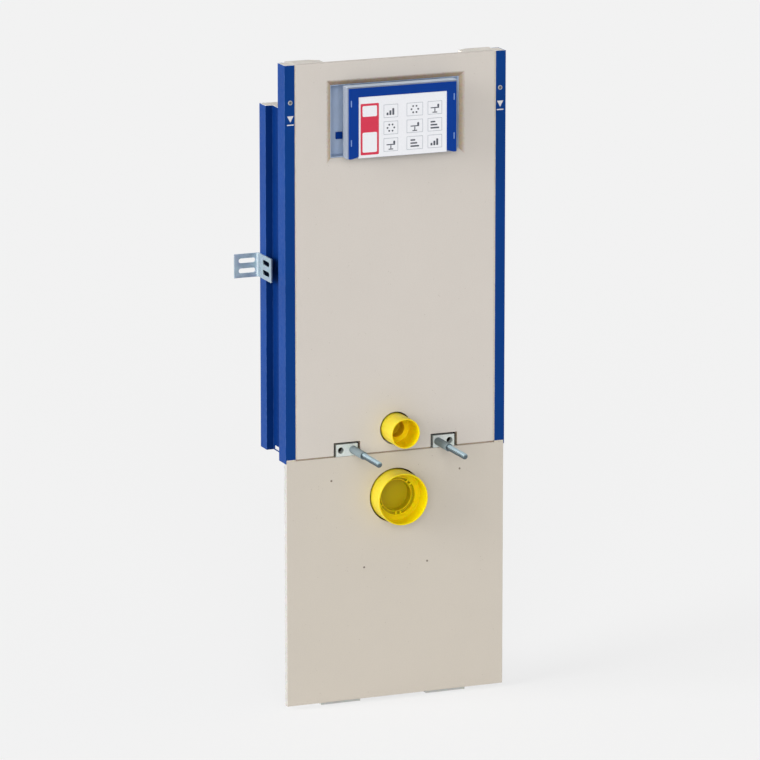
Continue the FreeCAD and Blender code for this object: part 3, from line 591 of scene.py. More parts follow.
class Finishes:
    """The materials, each made once."""

    def __init__(self) -> None:
        """Makes every finish."""
        self.steel = PowderCoat("blue_powder_coat", screen(8, 58, 128), screen(90, 122, 178)).make()
        # Darker copy of the blue coat for the faces in the grooves: painted shade.
        self.groove_painted_shade = PowderCoat("blue_coat_painted_groove_shade", screen(5, 43, 105),
                                       screen(60, 90, 146)).make()
        board = screen(211, 204, 196)
        self.upper_board = CementBoard("upper_board_face", board, screen(168, 156, 142)).make()
        self.lower_board = CementBoard("lower_board_face", screen(206, 198, 186),
                                       screen(160, 148, 132)).make()
        self.board_edge = LightConcrete("broken_board_edge", screen(188, 170, 148), screen(150, 126, 100),
                                        board).make()
        # Darker copy of the raw edge for edges that look down: painted shade.
        self.board_shade = LightConcrete("upper_edge_painted_shade", screen(158, 140, 122), screen(120, 98, 78),
                                         board, face_reach=0.002).make()
        # Darker board finish for the sides that the side lamp lights strongly: painted shade.
        self.board_flank_shade = LightConcrete("cement_board_flank_painted_shade", screen(186, 184, 180),
                                        screen(150, 146, 140)).make()
        # Pale colour for the strips in the narrow gaps: painted light.
        self.gap_painted_light = LightConcrete("strip_painting_gap_light", screen(216, 206, 190),
                                        screen(180, 164, 142)).make()
        self.mortar = LightConcrete("joint_mortar", screen(164, 149, 132), screen(120, 104, 88)).make()
        self.core = LightConcrete("cast_light_concrete", screen(226, 221, 213),
                                  screen(178, 164, 146)).make()
        self.zinc = ZincSteel("zinc_sheet", screen(186, 198, 206)).make()
        self.pale_zinc = ZincSteel("pale_zinc_plate", screen(214, 221, 217), rough=0.45, flake=160.0,
                                   metal=0.25).make()
        self.bracket = ZincSteel("bracket_zinc", screen(186, 203, 214), (0.1, 1.0, 1.0), rough=0.36,
                                 flake=140.0).make()
        # Darker, duller copy of the bracket zinc for faces that look left or right: painted shade.
        self.bracket_flank_shade = ZincSteel("bracket_flank_painted_shade", screen(138, 155, 167), (1.0, 0.1, 1.0),
                                      rough=0.5, flake=140.0, metal=0.2).make()
        self.cut_zinc = ZincSteel("bare_cut_edge", screen(226, 232, 238), rough=0.3, flake=400.0,
                                  metal=0.5).make()
        # The rod darkens below its middle: painted shade.
        self.zinc_rod = ZincSteel("zinc_rod", screen(170, 191, 200), (1.0, 0.04, 1.0), rough=0.42,
                                  flake=240.0, metal=0.7, under=(0.5168, 0.5195)).make()
        self.dark_steel = ZincSteel("blackened_steel", screen(62, 58, 54), rough=0.5, flake=240.0,
                                    metal=0.6).make()
        self.brown_steel = ZincSteel("browned_steel", screen(134, 122, 110), rough=0.6, flake=240.0,
                                     metal=0.2).make()
        self.foot_zinc = ZincSteel("foot_zinc", screen(201, 203, 199), rough=0.5, flake=160.0,
                                   metal=0.5).make()
        # Pale zinc for the bead along a bracket's fold: painted highlight.
        self.bead_painted_highlight = ZincSteel("bead_painted_highlight", screen(218, 230, 235), rough=0.4, flake=240.0,
                                   metal=0.2).make()
        self.rivet_rim = ZincSteel("dull_rivet", screen(176, 174, 172), rough=0.5, flake=240.0,
                                   metal=0.3).make()
        self.rivet_core = ZincSteel("dull_rivet_core", screen(92, 94, 104), rough=0.55, flake=240.0,
                                    metal=0.3).make()
        self.brass = ZincSteel("turned_brass", screen(206, 172, 104), (1.0, 1.0, 0.05), rough=0.28,
                               flake=300.0).make()
        yellow = screen(214, 195, 48)
        # Brighter walls and darker floors inside the caps: painted light and painted shade.
        drain_cup_light = CupLightAndShade(0.415, 0.051, screen(250, 226, 2), screen(187, 169, 2), (-0.007, 0.004))
        flush_cup_light = CupLightAndShade(0.55, 0.029, screen(255, 226, 2), screen(222, 188, 4), (-0.004, 0.008))
        self.drain_yellow = MouldedPlastic("drain_cap_yellow", yellow, rough=0.42, gloss=0.2, thin=0.35,
                                           cup=drain_cup_light).make()
        self.flush_yellow = MouldedPlastic("flush_cap_yellow", yellow, rough=0.42, gloss=0.2, thin=0.35,
                                           cup=flush_cup_light).make()
        self.black = MouldedPlastic("black_plastic", screen(34, 35, 38), rough=0.6, grain=900.0,
                                    depth=0.00006, cloud=0.1, gloss=0.03).make()
        # Black for the foam seals, and for the sheets round the rod plates as painted shade.
        self.foam_and_shade = MouldedPlastic("black_foam_and_painted_shade", screen(22, 20, 18), rough=0.85, grain=500.0, depth=0.0003,
                                   cloud=0.15).make()
        self.grey = MouldedPlastic("grey_plastic", screen(172, 182, 199), rough=0.42).make()
        self.tray = MouldedPlastic("tray_grey", screen(143, 151, 165), rough=0.4).make()
        # Lighter copy of the tray grey for faces that look up or down: painted light on its top.
        self.tray_lit_top = MouldedPlastic("tray_grey_painted_top_light", screen(196, 207, 220), rough=0.6, gloss=0.0).make()
        # Near black for the sheets behind the bracket slots: painted shade.
        self.slot_painted_shade = MouldedPlastic("shade_paint_for_slots", screen(3, 7, 20), rough=0.8, gloss=0.0).make()
        self.collar = MouldedPlastic("collar_grey", screen(182, 199, 224), rough=0.36, grain=700.0,
                                     depth=0.0001, cloud=0.08).make()
        self.blue = MouldedPlastic("blue_plastic", screen(9, 58, 144), rough=0.4, gloss=0.08).make()
        # Pale blue for the tongues in the frame's slots: painted glint.
        self.glint_tongue = MouldedPlastic("pale_blue_painted_glint", screen(122, 152, 206), rough=0.4).make()
        self.sleeve = MouldedPlastic("dull_sleeve", screen(119, 132, 136), rough=0.7, grain=600.0,
                                     depth=0.0001).make()
        self.card = CardPaper("white_card", screen(238, 239, 243)).make()
        self.red_ink = CardPaper("red_ink", screen(212, 48, 76)).make()
        self.grey_ink = CardPaper("grey_ink", screen(176, 180, 188)).make()
        self.dark_ink = CardPaper("dark_ink", screen(78, 82, 92)).make()
        self.white_paint = CardPaper("white_mark_paint", screen(214, 211, 212), rough=0.6).make()


class Mesher:
    """Makes and finishes meshes, with their place in their vertices."""

    # Distance in metres that merges corners, and turns that count as flat and as sharp.
    merge: float = 2e-6
    flat_turn: float = math.radians(0.4)
    sharp_turn: float = math.radians(40.0)

    @staticmethod
    def piece(name: str, mesh: bpy.types.Mesh) -> Piece:
        """Links a new object that shows a mesh.

        Args:
            name: Name of the object.
            mesh: Mesh that it shows.

        Returns:
            The object.
        """
        made = bpy.data.objects.new(name, mesh)
        bpy.context.scene.collection.objects.link(made)
        return made

    @staticmethod
    def cast(name: str, shape: bmesh.types.BMesh) -> Piece:
        """Turns a shape under construction into an object.

        Args:
            name: Name of the object.
            shape: Shape, which is used up.

        Returns:
            The object.
        """
        mesh = bpy.data.meshes.new(name)
        shape.to_mesh(mesh)
        shape.free()
        return Mesher.piece(name, mesh)

    @staticmethod
    def settle(piece: Piece) -> None:
        """Turns what the modifiers show into the object's own mesh, and removes them.

        Args:
            piece: Object to settle.
        """
        graph = bpy.context.evaluated_depsgraph_get()
        mesh = bpy.data.meshes.new_from_object(piece.evaluated_get(graph))
        piece.modifiers.clear()
        piece.data = mesh

    @staticmethod
    def solid_of(node: str, name: str) -> Piece:
        """Copies a CAD node as a clean mesh of few large faces.

        Args:
            node: Node to copy.
            name: Name of the copy.

        Returns:
            The copy.
        """
        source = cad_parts[node].data
        mesh = bpy.data.meshes.new(name)
        mesh.from_pydata([v.co for v in source.vertices], [], [tuple(p.vertices) for p in source.polygons])
        shape = bmesh.new()
        shape.from_mesh(mesh)
        bmesh.ops.remove_doubles(shape, verts=shape.verts, dist=Mesher.merge)
        bmesh.ops.dissolve_limit(shape, angle_limit=Mesher.flat_turn, use_dissolve_boundaries=False,
                                 verts=shape.verts, edges=shape.edges)
        shape.to_mesh(mesh)
        shape.free()
        return Mesher.piece(name, mesh)

    @staticmethod
    def soften(piece: Piece, edge: Edge, segments: int = 2) -> None:
        """Rounds the sharp edges of a piece and marks them.

        Args:
            piece: Piece to soften.
            edge: Width of the rounding.
            segments: Steps across the rounding.
        """
        mesh = piece.data
        mesh.materials.clear()
        mesh.materials.append(None)
        mesh.materials.append(None)
        mesh.polygons.foreach_set("material_index", [0] * len(mesh.polygons))
        mesh.shade_smooth()
        bevel = piece.modifiers.new("softened edges", "BEVEL")
        bevel.width = edge.value * MM
        bevel.segments = segments
        bevel.limit_method = "ANGLE"
        bevel.angle_limit = Mesher.sharp_turn
        bevel.use_clamp_overlap = True
        bevel.material = 1
        weigh = piece.modifiers.new("even shading", "WEIGHTED_NORMAL")
        weigh.keep_sharp = True
        Mesher.settle(piece)
        mesh = piece.data
        marks = [float(face.material_index == 1) for face in mesh.polygons]
        mesh.attributes.new("edge", "FLOAT", "FACE").data.foreach_set("value", marks)
        mesh.polygons.foreach_set("material_index", [0] * len(marks))

    @staticmethod
    def smooth(piece: Piece, degrees: float) -> None:
        """Shades a piece smooth, but for edges that turn more than an angle."""
        piece.data.shade_smooth()
        piece.data.set_sharp_from_angle(angle=math.radians(degrees))

    @staticmethod
    def paint(piece: Piece, *materials: Material) -> None:
        """Gives a piece its materials, in the order of their indices.

        Args:
            piece: Piece to paint.
            *materials: Its materials.
        """
        piece.data.materials.clear()
        for material in materials:
            piece.data.materials.append(material)

    @staticmethod
    def sort_paint(piece: Piece, materials: Sequence[Material],
                   choose: Callable[[Vector, Vector], int]) -> None:
        """Gives each face of a piece one of several materials.

        Args:
            piece: Piece to paint.
            materials: Materials to choose from.
            choose: Takes a face's normal and middle and gives the index of its material.
        """
        Mesher.paint(piece, *materials)
        for face in piece.data.polygons:
            face.material_index = int(choose(face.normal, face.center))

    @staticmethod
    def turned(name: str, profile: Outline, base: Point, axis: Axis, steps: int) -> Piece:
        """Turns a closed profile round an axis.

        Args:
            name: Name of the piece.
            profile: Corners as (distance along the axis, radius), in millimetres, in a ring.
            base: Point of the axis that distances start from, in millimetres.
            axis: Direction of the axis.
            steps: Faces round the axis.

        Returns:
            The turned piece.
        """
        shape = bmesh.new()
        turn = Vector(axis.value).to_track_quat("Z", "Y").to_matrix().to_4x4()
        place = Matrix.Translation(Vector(base) * MM) @ turn
        angles = [2 * math.pi * step / steps for step in range(steps)]
        rings = []
        for run, radius in profile:
            if radius == 0:
                rings.append([shape.verts.new(place @ Vector((0, 0, run * MM)))] * steps)
                continue
            corners = [Vector((math.cos(a) * radius, math.sin(a) * radius, run)) * MM for a in angles]
            rings.append([shape.verts.new(place @ corner) for corner in corners])
        for first, second in zip(rings, rings[1:] + rings[:1]):
            for step in range(steps):
                after = (step + 1) % steps
                ring = list(dict.fromkeys((first[step], first[after], second[after], second[step])))
                if len(ring) > 2:
                    shape.faces.new(ring)
        bmesh.ops.recalc_face_normals(shape, faces=shape.faces)
        return Mesher.cast(name, shape)

    @staticmethod
    def prism(name: str, outline: Outline, depth: Pair) -> Piece:
        """Raises an outline in the front plane to a solid.

        Args:
            name: Name of the piece.
            outline: Corners as (X, Z) in millimetres.
            depth: Y of its front and its back.

        Returns:
            The solid piece.
        """
        shape = bmesh.new()
        near, far = ([shape.verts.new(Vector((x, y, z)) * MM) for x, z in outline] for y in depth)
        shape.faces.new(near)
        shape.faces.new(far)
        for index in range(len(near)):
            after = (index + 1) % len(near)
            shape.faces.new([near[index], near[after], far[after], far[index]])
        bmesh.ops.recalc_face_normals(shape, faces=shape.faces)
        return Mesher.cast(name, shape)

    @staticmethod
    def block(name: str, across: Pair, depth: Pair, heights: Pair, sign: int = 1) -> Piece:
        """Makes a square block, on the right as given or mirrored to the left.

        Args:
            name: Name of the piece.
            across: Least and greatest X.
            depth: Least and greatest Y.
            heights: Least and greatest Z.
            sign: One for the right side, minus one for the left.

        Returns:
            The block.
        """
        (x0, x1), (z0, z1) = (sign * across[0], sign * across[1]), heights
        return Mesher.prism(name, [(x0, z0), (x1, z0), (x1, z1), (x0, z1)], depth)

    @staticmethod
    def joined(name: str, parts: Sequence[Piece]) -> Piece:
        """Puts several pieces into one mesh, and removes them.

        Args:
            name: Name of the new piece.
            parts: Pieces to join.

        Returns:
            The new piece.
        """
        shape = bmesh.new()
        for part in parts:
            shape.from_mesh(part.data)
        for part in parts:
            bpy.data.objects.remove(part)
        return Mesher.cast(name, shape)

    @staticmethod
    def carve(piece: Piece, cutters: Sequence[Piece]) -> None:
        """Cuts other pieces out of a piece, and removes them.

        Args:
            piece: Piece to cut.
            cutters: Pieces to cut out of it.
        """
        for cutter in cutters:
            cut = piece.modifiers.new("cut", "BOOLEAN")
            cut.operation = "DIFFERENCE"
            cut.solver = "EXACT"
            cut.object = cutter
        Mesher.settle(piece)
        for cutter in cutters:
            bpy.data.objects.remove(cutter)


def rounded(low: Pair, high: Pair, radius: float, steps: int = 5) -> list[Pair]:
    """Outline of a rectangle with round corners.

    Args:
        low: Lower corner as (X, Z).
        high: Upper corner as (X, Z).
        radius: Radius of the corners.
        steps: Steps round a corner.

    Returns:
        The outline's corners, in order.
    """
    middles = ((high[0] - radius, high[1] - radius), (low[0] + radius, high[1] - radius),
               (low[0] + radius, low[1] + radius), (high[0] - radius, low[1] + radius))
    outline = []
    for quarter, (x, z) in enumerate(middles):
        for step in range(steps + 1):
            angle = math.pi / 2 * (quarter + step / steps)
            outline.append((x + radius * math.cos(angle), z + radius * math.sin(angle)))
    return outline


class GrownTree(NodeBench):
    """A Geometry Nodes tree under construction, with named inputs."""

    def __init__(self, name: str, numbers: Sequence[str]) -> None:
        """Starts a tree whose inputs are places, numbers and a finish.

        Args:
            name: Name of the tree.
            numbers: Names of its number inputs.
        """
        super().__init__(bpy.data.node_groups.new(name, "GeometryNodeTree"))
        inputs = {"Places": "Geometry", **dict.fromkeys(numbers, "Float"), "Finish": "Material"}
        for label, kind in inputs.items():
            self.tree.interface.new_socket(label, in_out="INPUT", socket_type=f"NodeSocket{kind}")
        self.tree.interface.new_socket("Shape", in_out="OUTPUT", socket_type="NodeSocketGeometry")
        self.given = self.node("NodeGroupInput").outputs

    def lifted(self, shape: Socket, height: object) -> Socket:
        """Moves a shape up along its own axis.

        Args:
            shape: Shape to move.
            height: How far up it goes.

        Returns:
            The moved shape.
        """
        place = self.node("ShaderNodeCombineXYZ", {"Z": height}).outputs["Vector"]
        inputs = {"Geometry": shape, "Translation": place}
        return self.node("GeometryNodeTransform", inputs).outputs["Geometry"]

    def drum(self, sides: int, radius: object, height: object, foot: object) -> Socket:
        """A prism that stands on a given height.

        Args:
            sides: Number of sides.
            radius: Radius to its corners.
            height: Height of the prism.
            foot: Height of its foot.

        Returns:
            The prism's geometry.
        """
        sizes = {"Vertices": sides, "Radius": radius, "Depth": height}
        made = self.node("GeometryNodeMeshCylinder", sizes).outputs["Mesh"]
        return self.lifted(made, self.maths("ADD", foot, self.times(height, 0.5)))

    def cone(self, sides: int, radii: tuple[object, object], height: object, foot: object) -> Socket:
        """A blunt cone that stands on a given height.

        Args:
            sides: Number of sides.
            radii: Radius at its top and at its foot.
            height: Height of the cone.
            foot: Height of its foot.

        Returns:
            The cone's geometry.
        """
        sizes = {"Vertices": sides, "Radius Top": radii[0], "Radius Bottom": radii[1], "Depth": height}
        return self.lifted(self.node("GeometryNodeMeshCone", sizes).outputs["Mesh"], foot)

    def ring(self, steps: int, radius: object) -> Socket:
        """A round curve."""
        sizes = {"Resolution": steps, "Radius": radius}
        return self.node("GeometryNodeCurvePrimitiveCircle", sizes).outputs["Curve"]

    def swept(self, path: Socket, section: Socket, closed: bool) -> Socket:
        """Draws a section along a path, with its ends closed or not."""
        inputs = {"Curve": path, "Profile Curve": section, "Fill Caps": closed}
        return self.node("GeometryNodeCurveToMesh", inputs).outputs["Mesh"]

    def without(self, shape: Socket, cutter: Socket) -> Socket:
        """Cuts one shape out of another."""
        inputs = {"Mesh 1": shape, "Mesh 2": cutter}
        return self.node("GeometryNodeMeshBoolean", inputs, operation="DIFFERENCE").outputs["Mesh"]

    def gather(self, *shapes: Socket) -> Socket:
        """Joins shapes into one geometry.

        Args:
            *shapes: Shapes to join.

        Returns:
            The joined geometry.
        """
        made = self.node("GeometryNodeJoinGeometry")
        for shape in shapes:
            self.feed(made.inputs["Geometry"], shape)
        return made.outputs["Geometry"]

    def spread(self, shape: Socket) -> Socket:
        """Sets a shape on every given place, along the place's aim.

        Args:
            shape: Shape to repeat.

        Returns:
            The instances.
        """
        aim = self.node("GeometryNodeInputNamedAttribute", {"Name": "aim"}, data_type="FLOAT_VECTOR")
        turn = self.node("FunctionNodeAlignRotationToVector", {"Vector": aim.outputs["Attribute"]}, axis="Z")
        inputs = {"Points": self.given["Places"], "Instance": shape, "Rotation": turn.outputs["Rotation"]}
        return self.node("GeometryNodeInstanceOnPoints", inputs).outputs["Instances"]

    def close(self, shape: Socket) -> "GrownTree":
        """Ends the tree: instances become real and get the finish.

        Args:
            shape: Instances to end with.

        Returns:
            The finished tree.
        """
        real = self.node("GeometryNodeRealizeInstances", {"Geometry": shape}).outputs["Geometry"]
        dress = self.node("GeometryNodeSetMaterial", {"Geometry": real, "Material": self.given["Finish"]})
        self.node("NodeGroupOutput", {"Shape": dress.outputs["Geometry"]})
        return self

    def grow(self, name: str, places: Sequence[tuple[Point, Axis]], finish: Material,
             sizes: dict[str, float]) -> Piece:
        """Runs the tree and keeps its result as a plain mesh.

        Args:
            name: Name of the piece.
            places: Points in millimetres, each with the way that it faces.
            finish: Material of the result.
            sizes: Number inputs in millimetres, by name.

        Returns:
            The grown piece.
        """
        mesh = bpy.data.meshes.new(name)
        mesh.from_pydata([Vector(point) * MM for point, _ in places], [], [])
        aims = [number for _, axis in places for number in axis.value]
        mesh.attributes.new("aim", "FLOAT_VECTOR", "POINT").data.foreach_set("vector", aims)
        piece = Mesher.piece(name, mesh)
        grown = piece.modifiers.new("grown", "NODES")
        grown.node_group = self.tree
        for item in self.tree.interface.items_tree:
            if item.name in sizes:
                grown[item.identifier] = float(sizes[item.name]) * MM
            elif item.name == "Finish":
                grown[item.identifier] = finish
        Mesher.settle(piece)
        if not piece.data.materials:
            piece.data.materials.append(finish)
        return piece


@dataclass(frozen=True)
class Fastener:
    """A small thing that repeats, with its sizes in millimetres. Each kind grows from a tree of its own."""

    def inputs(self) -> dict[str, float]:
        """Its sizes, under the names of the tree's inputs."""
        return {key.capitalize(): value for key, value in asdict(self).items()}

    @classmethod
    def tree(cls) -> GrownTree:
        """Builds the tree that this kind grows from, with an input for each size.

        Returns:
            The finished tree.
        """
        names = [field.name.capitalize() for field in fields(cls)]
        tree = GrownTree(cls.__name__, names)
        return tree.close(tree.spread(cls.shape(tree, *(tree.given[name] for name in names))))

    @staticmethod
    def shape(tree: GrownTree, *sizes: Socket) -> Socket:
        """Shape of one of them, standing on its place."""
        raise NotImplementedError


@dataclass(frozen=True)
class HexBolt(Fastener):
    """A bolt with a washer, a six sided head and a turned crown."""

    head: float
    rise: float
    washer: float
    sheet: float

    @staticmethod
    def shape(tree: GrownTree, head: Socket, rise: Socket, washer: Socket, sheet: Socket) -> Socket:
        """Shape of a bolt.

        Args:
            tree: Tree under construction.
            head: Radius to the head's corners.
            rise: Height of the head.
            washer: Radius of the washer.
            sheet: Thickness of the washer.

        Returns:
            The bolt's geometry.
        """
        crown = (tree.times(head, 0.72), tree.times(head, 0.84))
        return tree.gather(tree.drum(28, washer, sheet, 0.0), tree.drum(6, head, rise, sheet),
                           tree.cone(28, crown, tree.times(rise, 0.12), tree.maths("ADD", sheet, rise)))


@dataclass(frozen=True)
class SocketScrew(Fastener):
    """A screw with a low domed head and a six sided recess."""

    head: float
    rise: float
    recess: float

    @staticmethod
    def shape(tree: GrownTree, head: Socket, rise: Socket, recess: Socket) -> Socket:
        """Shape of a screw's head.

        Args:
            tree: Tree under construction.
            head: Radius of the head.
            rise: Height of the head.
            recess: Radius to the recess's corners.

        Returns:
            The head's geometry.
        """
        rim = tree.times(rise, 0.45)
        crown = tree.cone(24, (tree.times(head, 0.7), head), tree.times(rise, 0.55), rim)
        hole = tree.drum(6, recess, rise, tree.times(rise, 0.5))
        return tree.gather(tree.drum(24, head, rim, 0.0), tree.without(crown, hole))


@dataclass(frozen=True)
class HollowRivet(Fastener):
    """A hollow rivet: a rolled rim round a sunk middle."""

    rim: float
    roll: float
    floor: float

    @staticmethod
    def shape(tree: GrownTree, rim: Socket, roll: Socket, floor: Socket) -> Socket:
        """Shape of a rivet's head: the rim's roll swept round, and the floor in it."""
        rolled = tree.swept(tree.ring(28, rim), tree.ring(10, roll), False)
        return tree.gather(rolled, tree.drum(24, rim, floor, 0.0))


@dataclass(frozen=True)
class Thread(Fastener):
    """A barrel with a helical ridge round it."""

    core: float
    ridge: float
    pitch: float
    length: float

    @staticmethod
    def shape(tree: GrownTree, core: Socket, ridge: Socket, pitch: Socket, length: Socket) -> Socket:
        """Shape of a threaded length.

        Args:
            tree: Tree under construction.
            core: Radius of the barrel.
            ridge: Radius of the ridge's section.
            pitch: Rise of a turn.
            length: Length of the helix.

        Returns:
            The thread's geometry.
        """
        path = tree.node("GeometryNodeCurveSpiral", {
            "Resolution": 28, "Rotations": tree.maths("DIVIDE", length, pitch), "Start Radius": core,
            "End Radius": core, "Height": length}).outputs["Curve"]
        helix = tree.swept(path, tree.ring(4, ridge), True)
        whole = tree.maths("ADD", length, tree.times(ridge, 2.0))
        return tree.gather(helix, tree.drum(28, core, whole, tree.times(ridge, -1.0)))


@dataclass(frozen=True)
class GripRing(Fastener):
    """Upright grip ribs in a ring."""

    ring: float
    rib: float
    tall: float

    @staticmethod
    def shape(tree: GrownTree, ring: Socket, rib: Socket, tall: Socket) -> Socket:
        """Shape of the ring: a rib on each of 24 points of a circle.

        Args:
            tree: Tree under construction.
            ring: Radius of the circle.
            rib: Radius of a rib.
            tall: Height of a rib.

        Returns:
            The ribs.
        """
        path = tree.node("GeometryNodeMeshCircle", {"Vertices": 24, "Radius": ring}).outputs["Mesh"]
        bars = {"Points": path, "Instance": tree.drum(10, rib, tall, 0.0)}
        return tree.node("GeometryNodeInstanceOnPoints", bars).outputs["Instances"]


@dataclass
class Assembly:
    """A group of pieces that is built and dressed together, with the finishes and trees that it uses."""

    finishes: Finishes
    trees: dict[type[Fastener], GrownTree]

    def keep(self, piece: Piece, slot: Slot, *stands_for: str) -> None:
        """Fixes a piece to the frame.

        Args:
            piece: Finished piece.
            slot: Slot of the record that it belongs to.
            *stands_for: CAD nodes that it is shown in place of.
        """
        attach(piece, "root")
        if stands_for:
            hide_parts(*stands_for)
        LOG.info("%s: %d faces, %s", piece.name, len(piece.data.polygons), slot.value)

    def show(self, piece: Piece, slot: Slot, material: Material, edge: Edge | None = None) -> None:
        """Finishes a piece of the scene's own and fixes it to the frame.

        Args:
            piece: New piece.
            slot: Slot of the record.
            material: Finish.
            edge: Width of its rounded edges, if it has any.
        """
        if edge is not None:
            Mesher.soften(piece, edge)
        Mesher.paint(piece, material)
        self.keep(piece, slot)

    def dress(self, node: str, slot: Slot, material: Material, edge: Edge, segments: int = 2) -> None:
        """Shows a CAD node with softened edges and its finish.

        Args:
            node: Node to show.
            slot: Slot of the record.
            material: Finish.
            edge: Width of its rounded edges.
            segments: Steps across the rounding.
        """
        piece = Mesher.solid_of(node, f"{node}_shown")
        Mesher.soften(piece, edge, segments)
        Mesher.paint(piece, material)
        self.keep(piece, slot, node)

    def dress_by_face(self, node: str, slot: Slot, materials: Sequence[Material], edge: Edge,
                      choose: Callable[[Vector, Vector], int]) -> None:
        """Shows a CAD node with softened edges, and with a finish for each kind of face.

        Args:
            node: Node to show.
            slot: Slot of the record.
            materials: Finishes to choose from.
            edge: Width of its rounded edges.
            choose: Takes a face's normal and middle and gives the index of its finish.
        """
        piece = Mesher.solid_of(node, f"{node}_shown")
        Mesher.soften(piece, edge)
        Mesher.sort_paint(piece, materials, choose)
        self.keep(piece, slot, node)

    def grown(self, name: str, kind: Fastener, places: Sequence[tuple[Point, Axis]],
              finish: Material) -> Piece:
        """Grows a fastener on every place, as one piece."""
        return self.trees[type(kind)].grow(name, places, finish, kind.inputs())

    def fasten(self, name: str, kind: Fastener, places: Sequence[tuple[Point, Axis]], finish: Material,
               slot: Slot = Slot.ZINC) -> None:
        """Grows a fastener on every place and fixes the piece to the frame."""
        self.keep(self.grown(name, kind, places, finish), slot)

    def build(self) -> None:
        """Builds and dresses the group."""
        raise NotImplementedError


def facing_up(normal: Vector, _middle: Vector) -> int:
    """Chooses the second finish for faces that look straight up or down."""
    return int(abs(normal.z) > SQUARE)


def facing_sideways(normal: Vector, _middle: Vector) -> int:
    """Chooses the second finish for faces that look to the left or right."""
    return int(abs(normal.x) > SQUARE)


@dataclass
class Channels(Assembly):
    """The two folded side channels, the ties between them and their wall brackets."""

    flange_middle: float = 219.6
    rivet_height: float = 1212.0
    rivet_seat: float = 0.2
    rivet: HollowRivet = HollowRivet(rim=3.6, roll=1.0, floor=0.4)
    core_seat: float = -0.35
    rivet_core: SocketScrew = SocketScrew(head=2.9, rise=0.4, recess=1.2)
    mark_top: float = 1186.0
    mark_tip: float = 1173.8
    mark_half: float = 6.6
    bar_middle: float = 1168.6
    bar_half: Pair = (7.2, 1.1)
    bar_corner: float = 1.0
    mark_depth: Pair = (-0.12, 0.0)
    tie_middles: Pair = (1130.0, 586.0)
    tie_screw_sides: Pair = (188.0, 202.0)
    tie_screw: SocketScrew = SocketScrew(head=4.6, rise=2.4, recess=2.0)
    back: float = 134.0
    groove: Pair = (35.0, 103.0)
    groove_side: float = 230.0
    slot_back: Pair = (231.55, 232.1)
    slot_depth: Pair = (76.0, 113.0)
    slot_heights: Pair = (853.0, 886.5)
    bead: Pair = (234.4, 238.0)
    bead_depth: Pair = (133.6, 135.1)
    bead_heights: Pair = (846.6, 892.9)

    def channels(self) -> None:
        """Dresses the channels: bare metal where the sheet is cut, and a darker coat in the grooves as
        painted shade.
        """
        coats = (self.finishes.steel, self.finishes.cut_zinc, self.finishes.groove_painted_shade)
        for side in SIDES:
            self.dress_by_face(f"{side}_side_channel", Slot.STEEL, coats, Edge.SHEET, self.coat_of)

    def coat_of(self, normal: Vector, middle: Vector) -> ChannelCoat:
        """Chooses the finish of a channel's face.

        Args:
            normal: Way the face looks.
            middle: Middle of the face.

        Returns:
            The finish.
        """
        if facing_up(normal, middle):
            return ChannelCoat.CUT
        low, high = self.groove
        inside = low < middle.y / MM < high and abs(middle.x) / MM < self.groove_side
        # Faces in a groove take the darker coat: painted shade.
        return ChannelCoat.GROOVE_SHADE if inside else ChannelCoat.COAT

    def marks(self) -> None:
        """Paints the level marks on the front flanges: a triangle that points down to a bar."""
        (wide, tall), half, top = self.bar_half, self.mark_half, self.mark_top
        for side, sign in SIDES.items():
            x, z = sign * self.flange_middle, self.bar_middle
            tip = [(x - half, top), (x + half, top), (x, self.mark_tip)]
            bar = rounded((x - wide, z - tall), (x + wide, z + tall), self.bar_corner)
            mark = Mesher.joined(f"{side}_level_mark", [
                Mesher.prism("paint", outline, self.mark_depth) for outline in (tip, bar)])
            self.show(mark, Slot.STEEL, self.finishes.white_paint)

    def brackets(self) -> None:
        """Dresses the wall brackets, with a dark sheet behind their slots as painted shade, and a pale bead
        on each that is partly a painted highlight.
        """
        coats = (self.finishes.bracket, self.finishes.bracket_flank_shade)
        behind = (self.slot_back, self.slot_depth, self.slot_heights)
        for side, sign in SIDES.items():
            # Faces that look left or right take the darker zinc: painted shade.
            self.dress_by_face(f"{side}_wall_bracket", Slot.ZINC, coats, Edge.SHEET, facing_sideways)
            # A dark sheet behind the slots: painted shade in them.
            shade = Mesher.block(f"{side}_slot_shade_sheet", *behind, sign)
            self.show(shade, Slot.BLACK, self.finishes.slot_painted_shade)
            # A pale bead along the fold: partly its rounding, partly a painted highlight.
            bead = Mesher.block(f"{side}_bracket_bead_highlight", self.bead, self.bead_depth, self.bead_heights, sign)
            self.show(bead, Slot.ZINC, self.finishes.bead_painted_highlight, Edge.SHEET)

    def fasteners(self) -> None:
        """Sets the rivets of the flanges and the screws of the ties."""
        rims, cores = ([((sign * self.flange_middle, seat, self.rivet_height), Axis.FRONT) for sign in SIGNS]
                       for seat in (self.rivet_seat, self.core_seat))
        self.fasten("flange_rivets", self.rivet, rims, self.finishes.rivet_rim)
        self.fasten("flange_rivet_cores", self.rivet_core, cores, self.finishes.rivet_core)
        ties = [((sign * x, self.back, z), Axis.BACK)
                for sign in SIGNS for x in self.tie_screw_sides for z in self.tie_middles]
        self.fasten("tie_screws", self.tie_screw, ties, self.finishes.zinc)

    def build(self) -> None:
        """Builds and dresses the group."""
        self.channels()
        self.marks()
        self.brackets()
        for tie in ("upper_rear_tie", "lower_rear_tie"):
            self.dress(tie, Slot.STEEL, self.finishes.steel, Edge.THIN)
        self.fasteners()


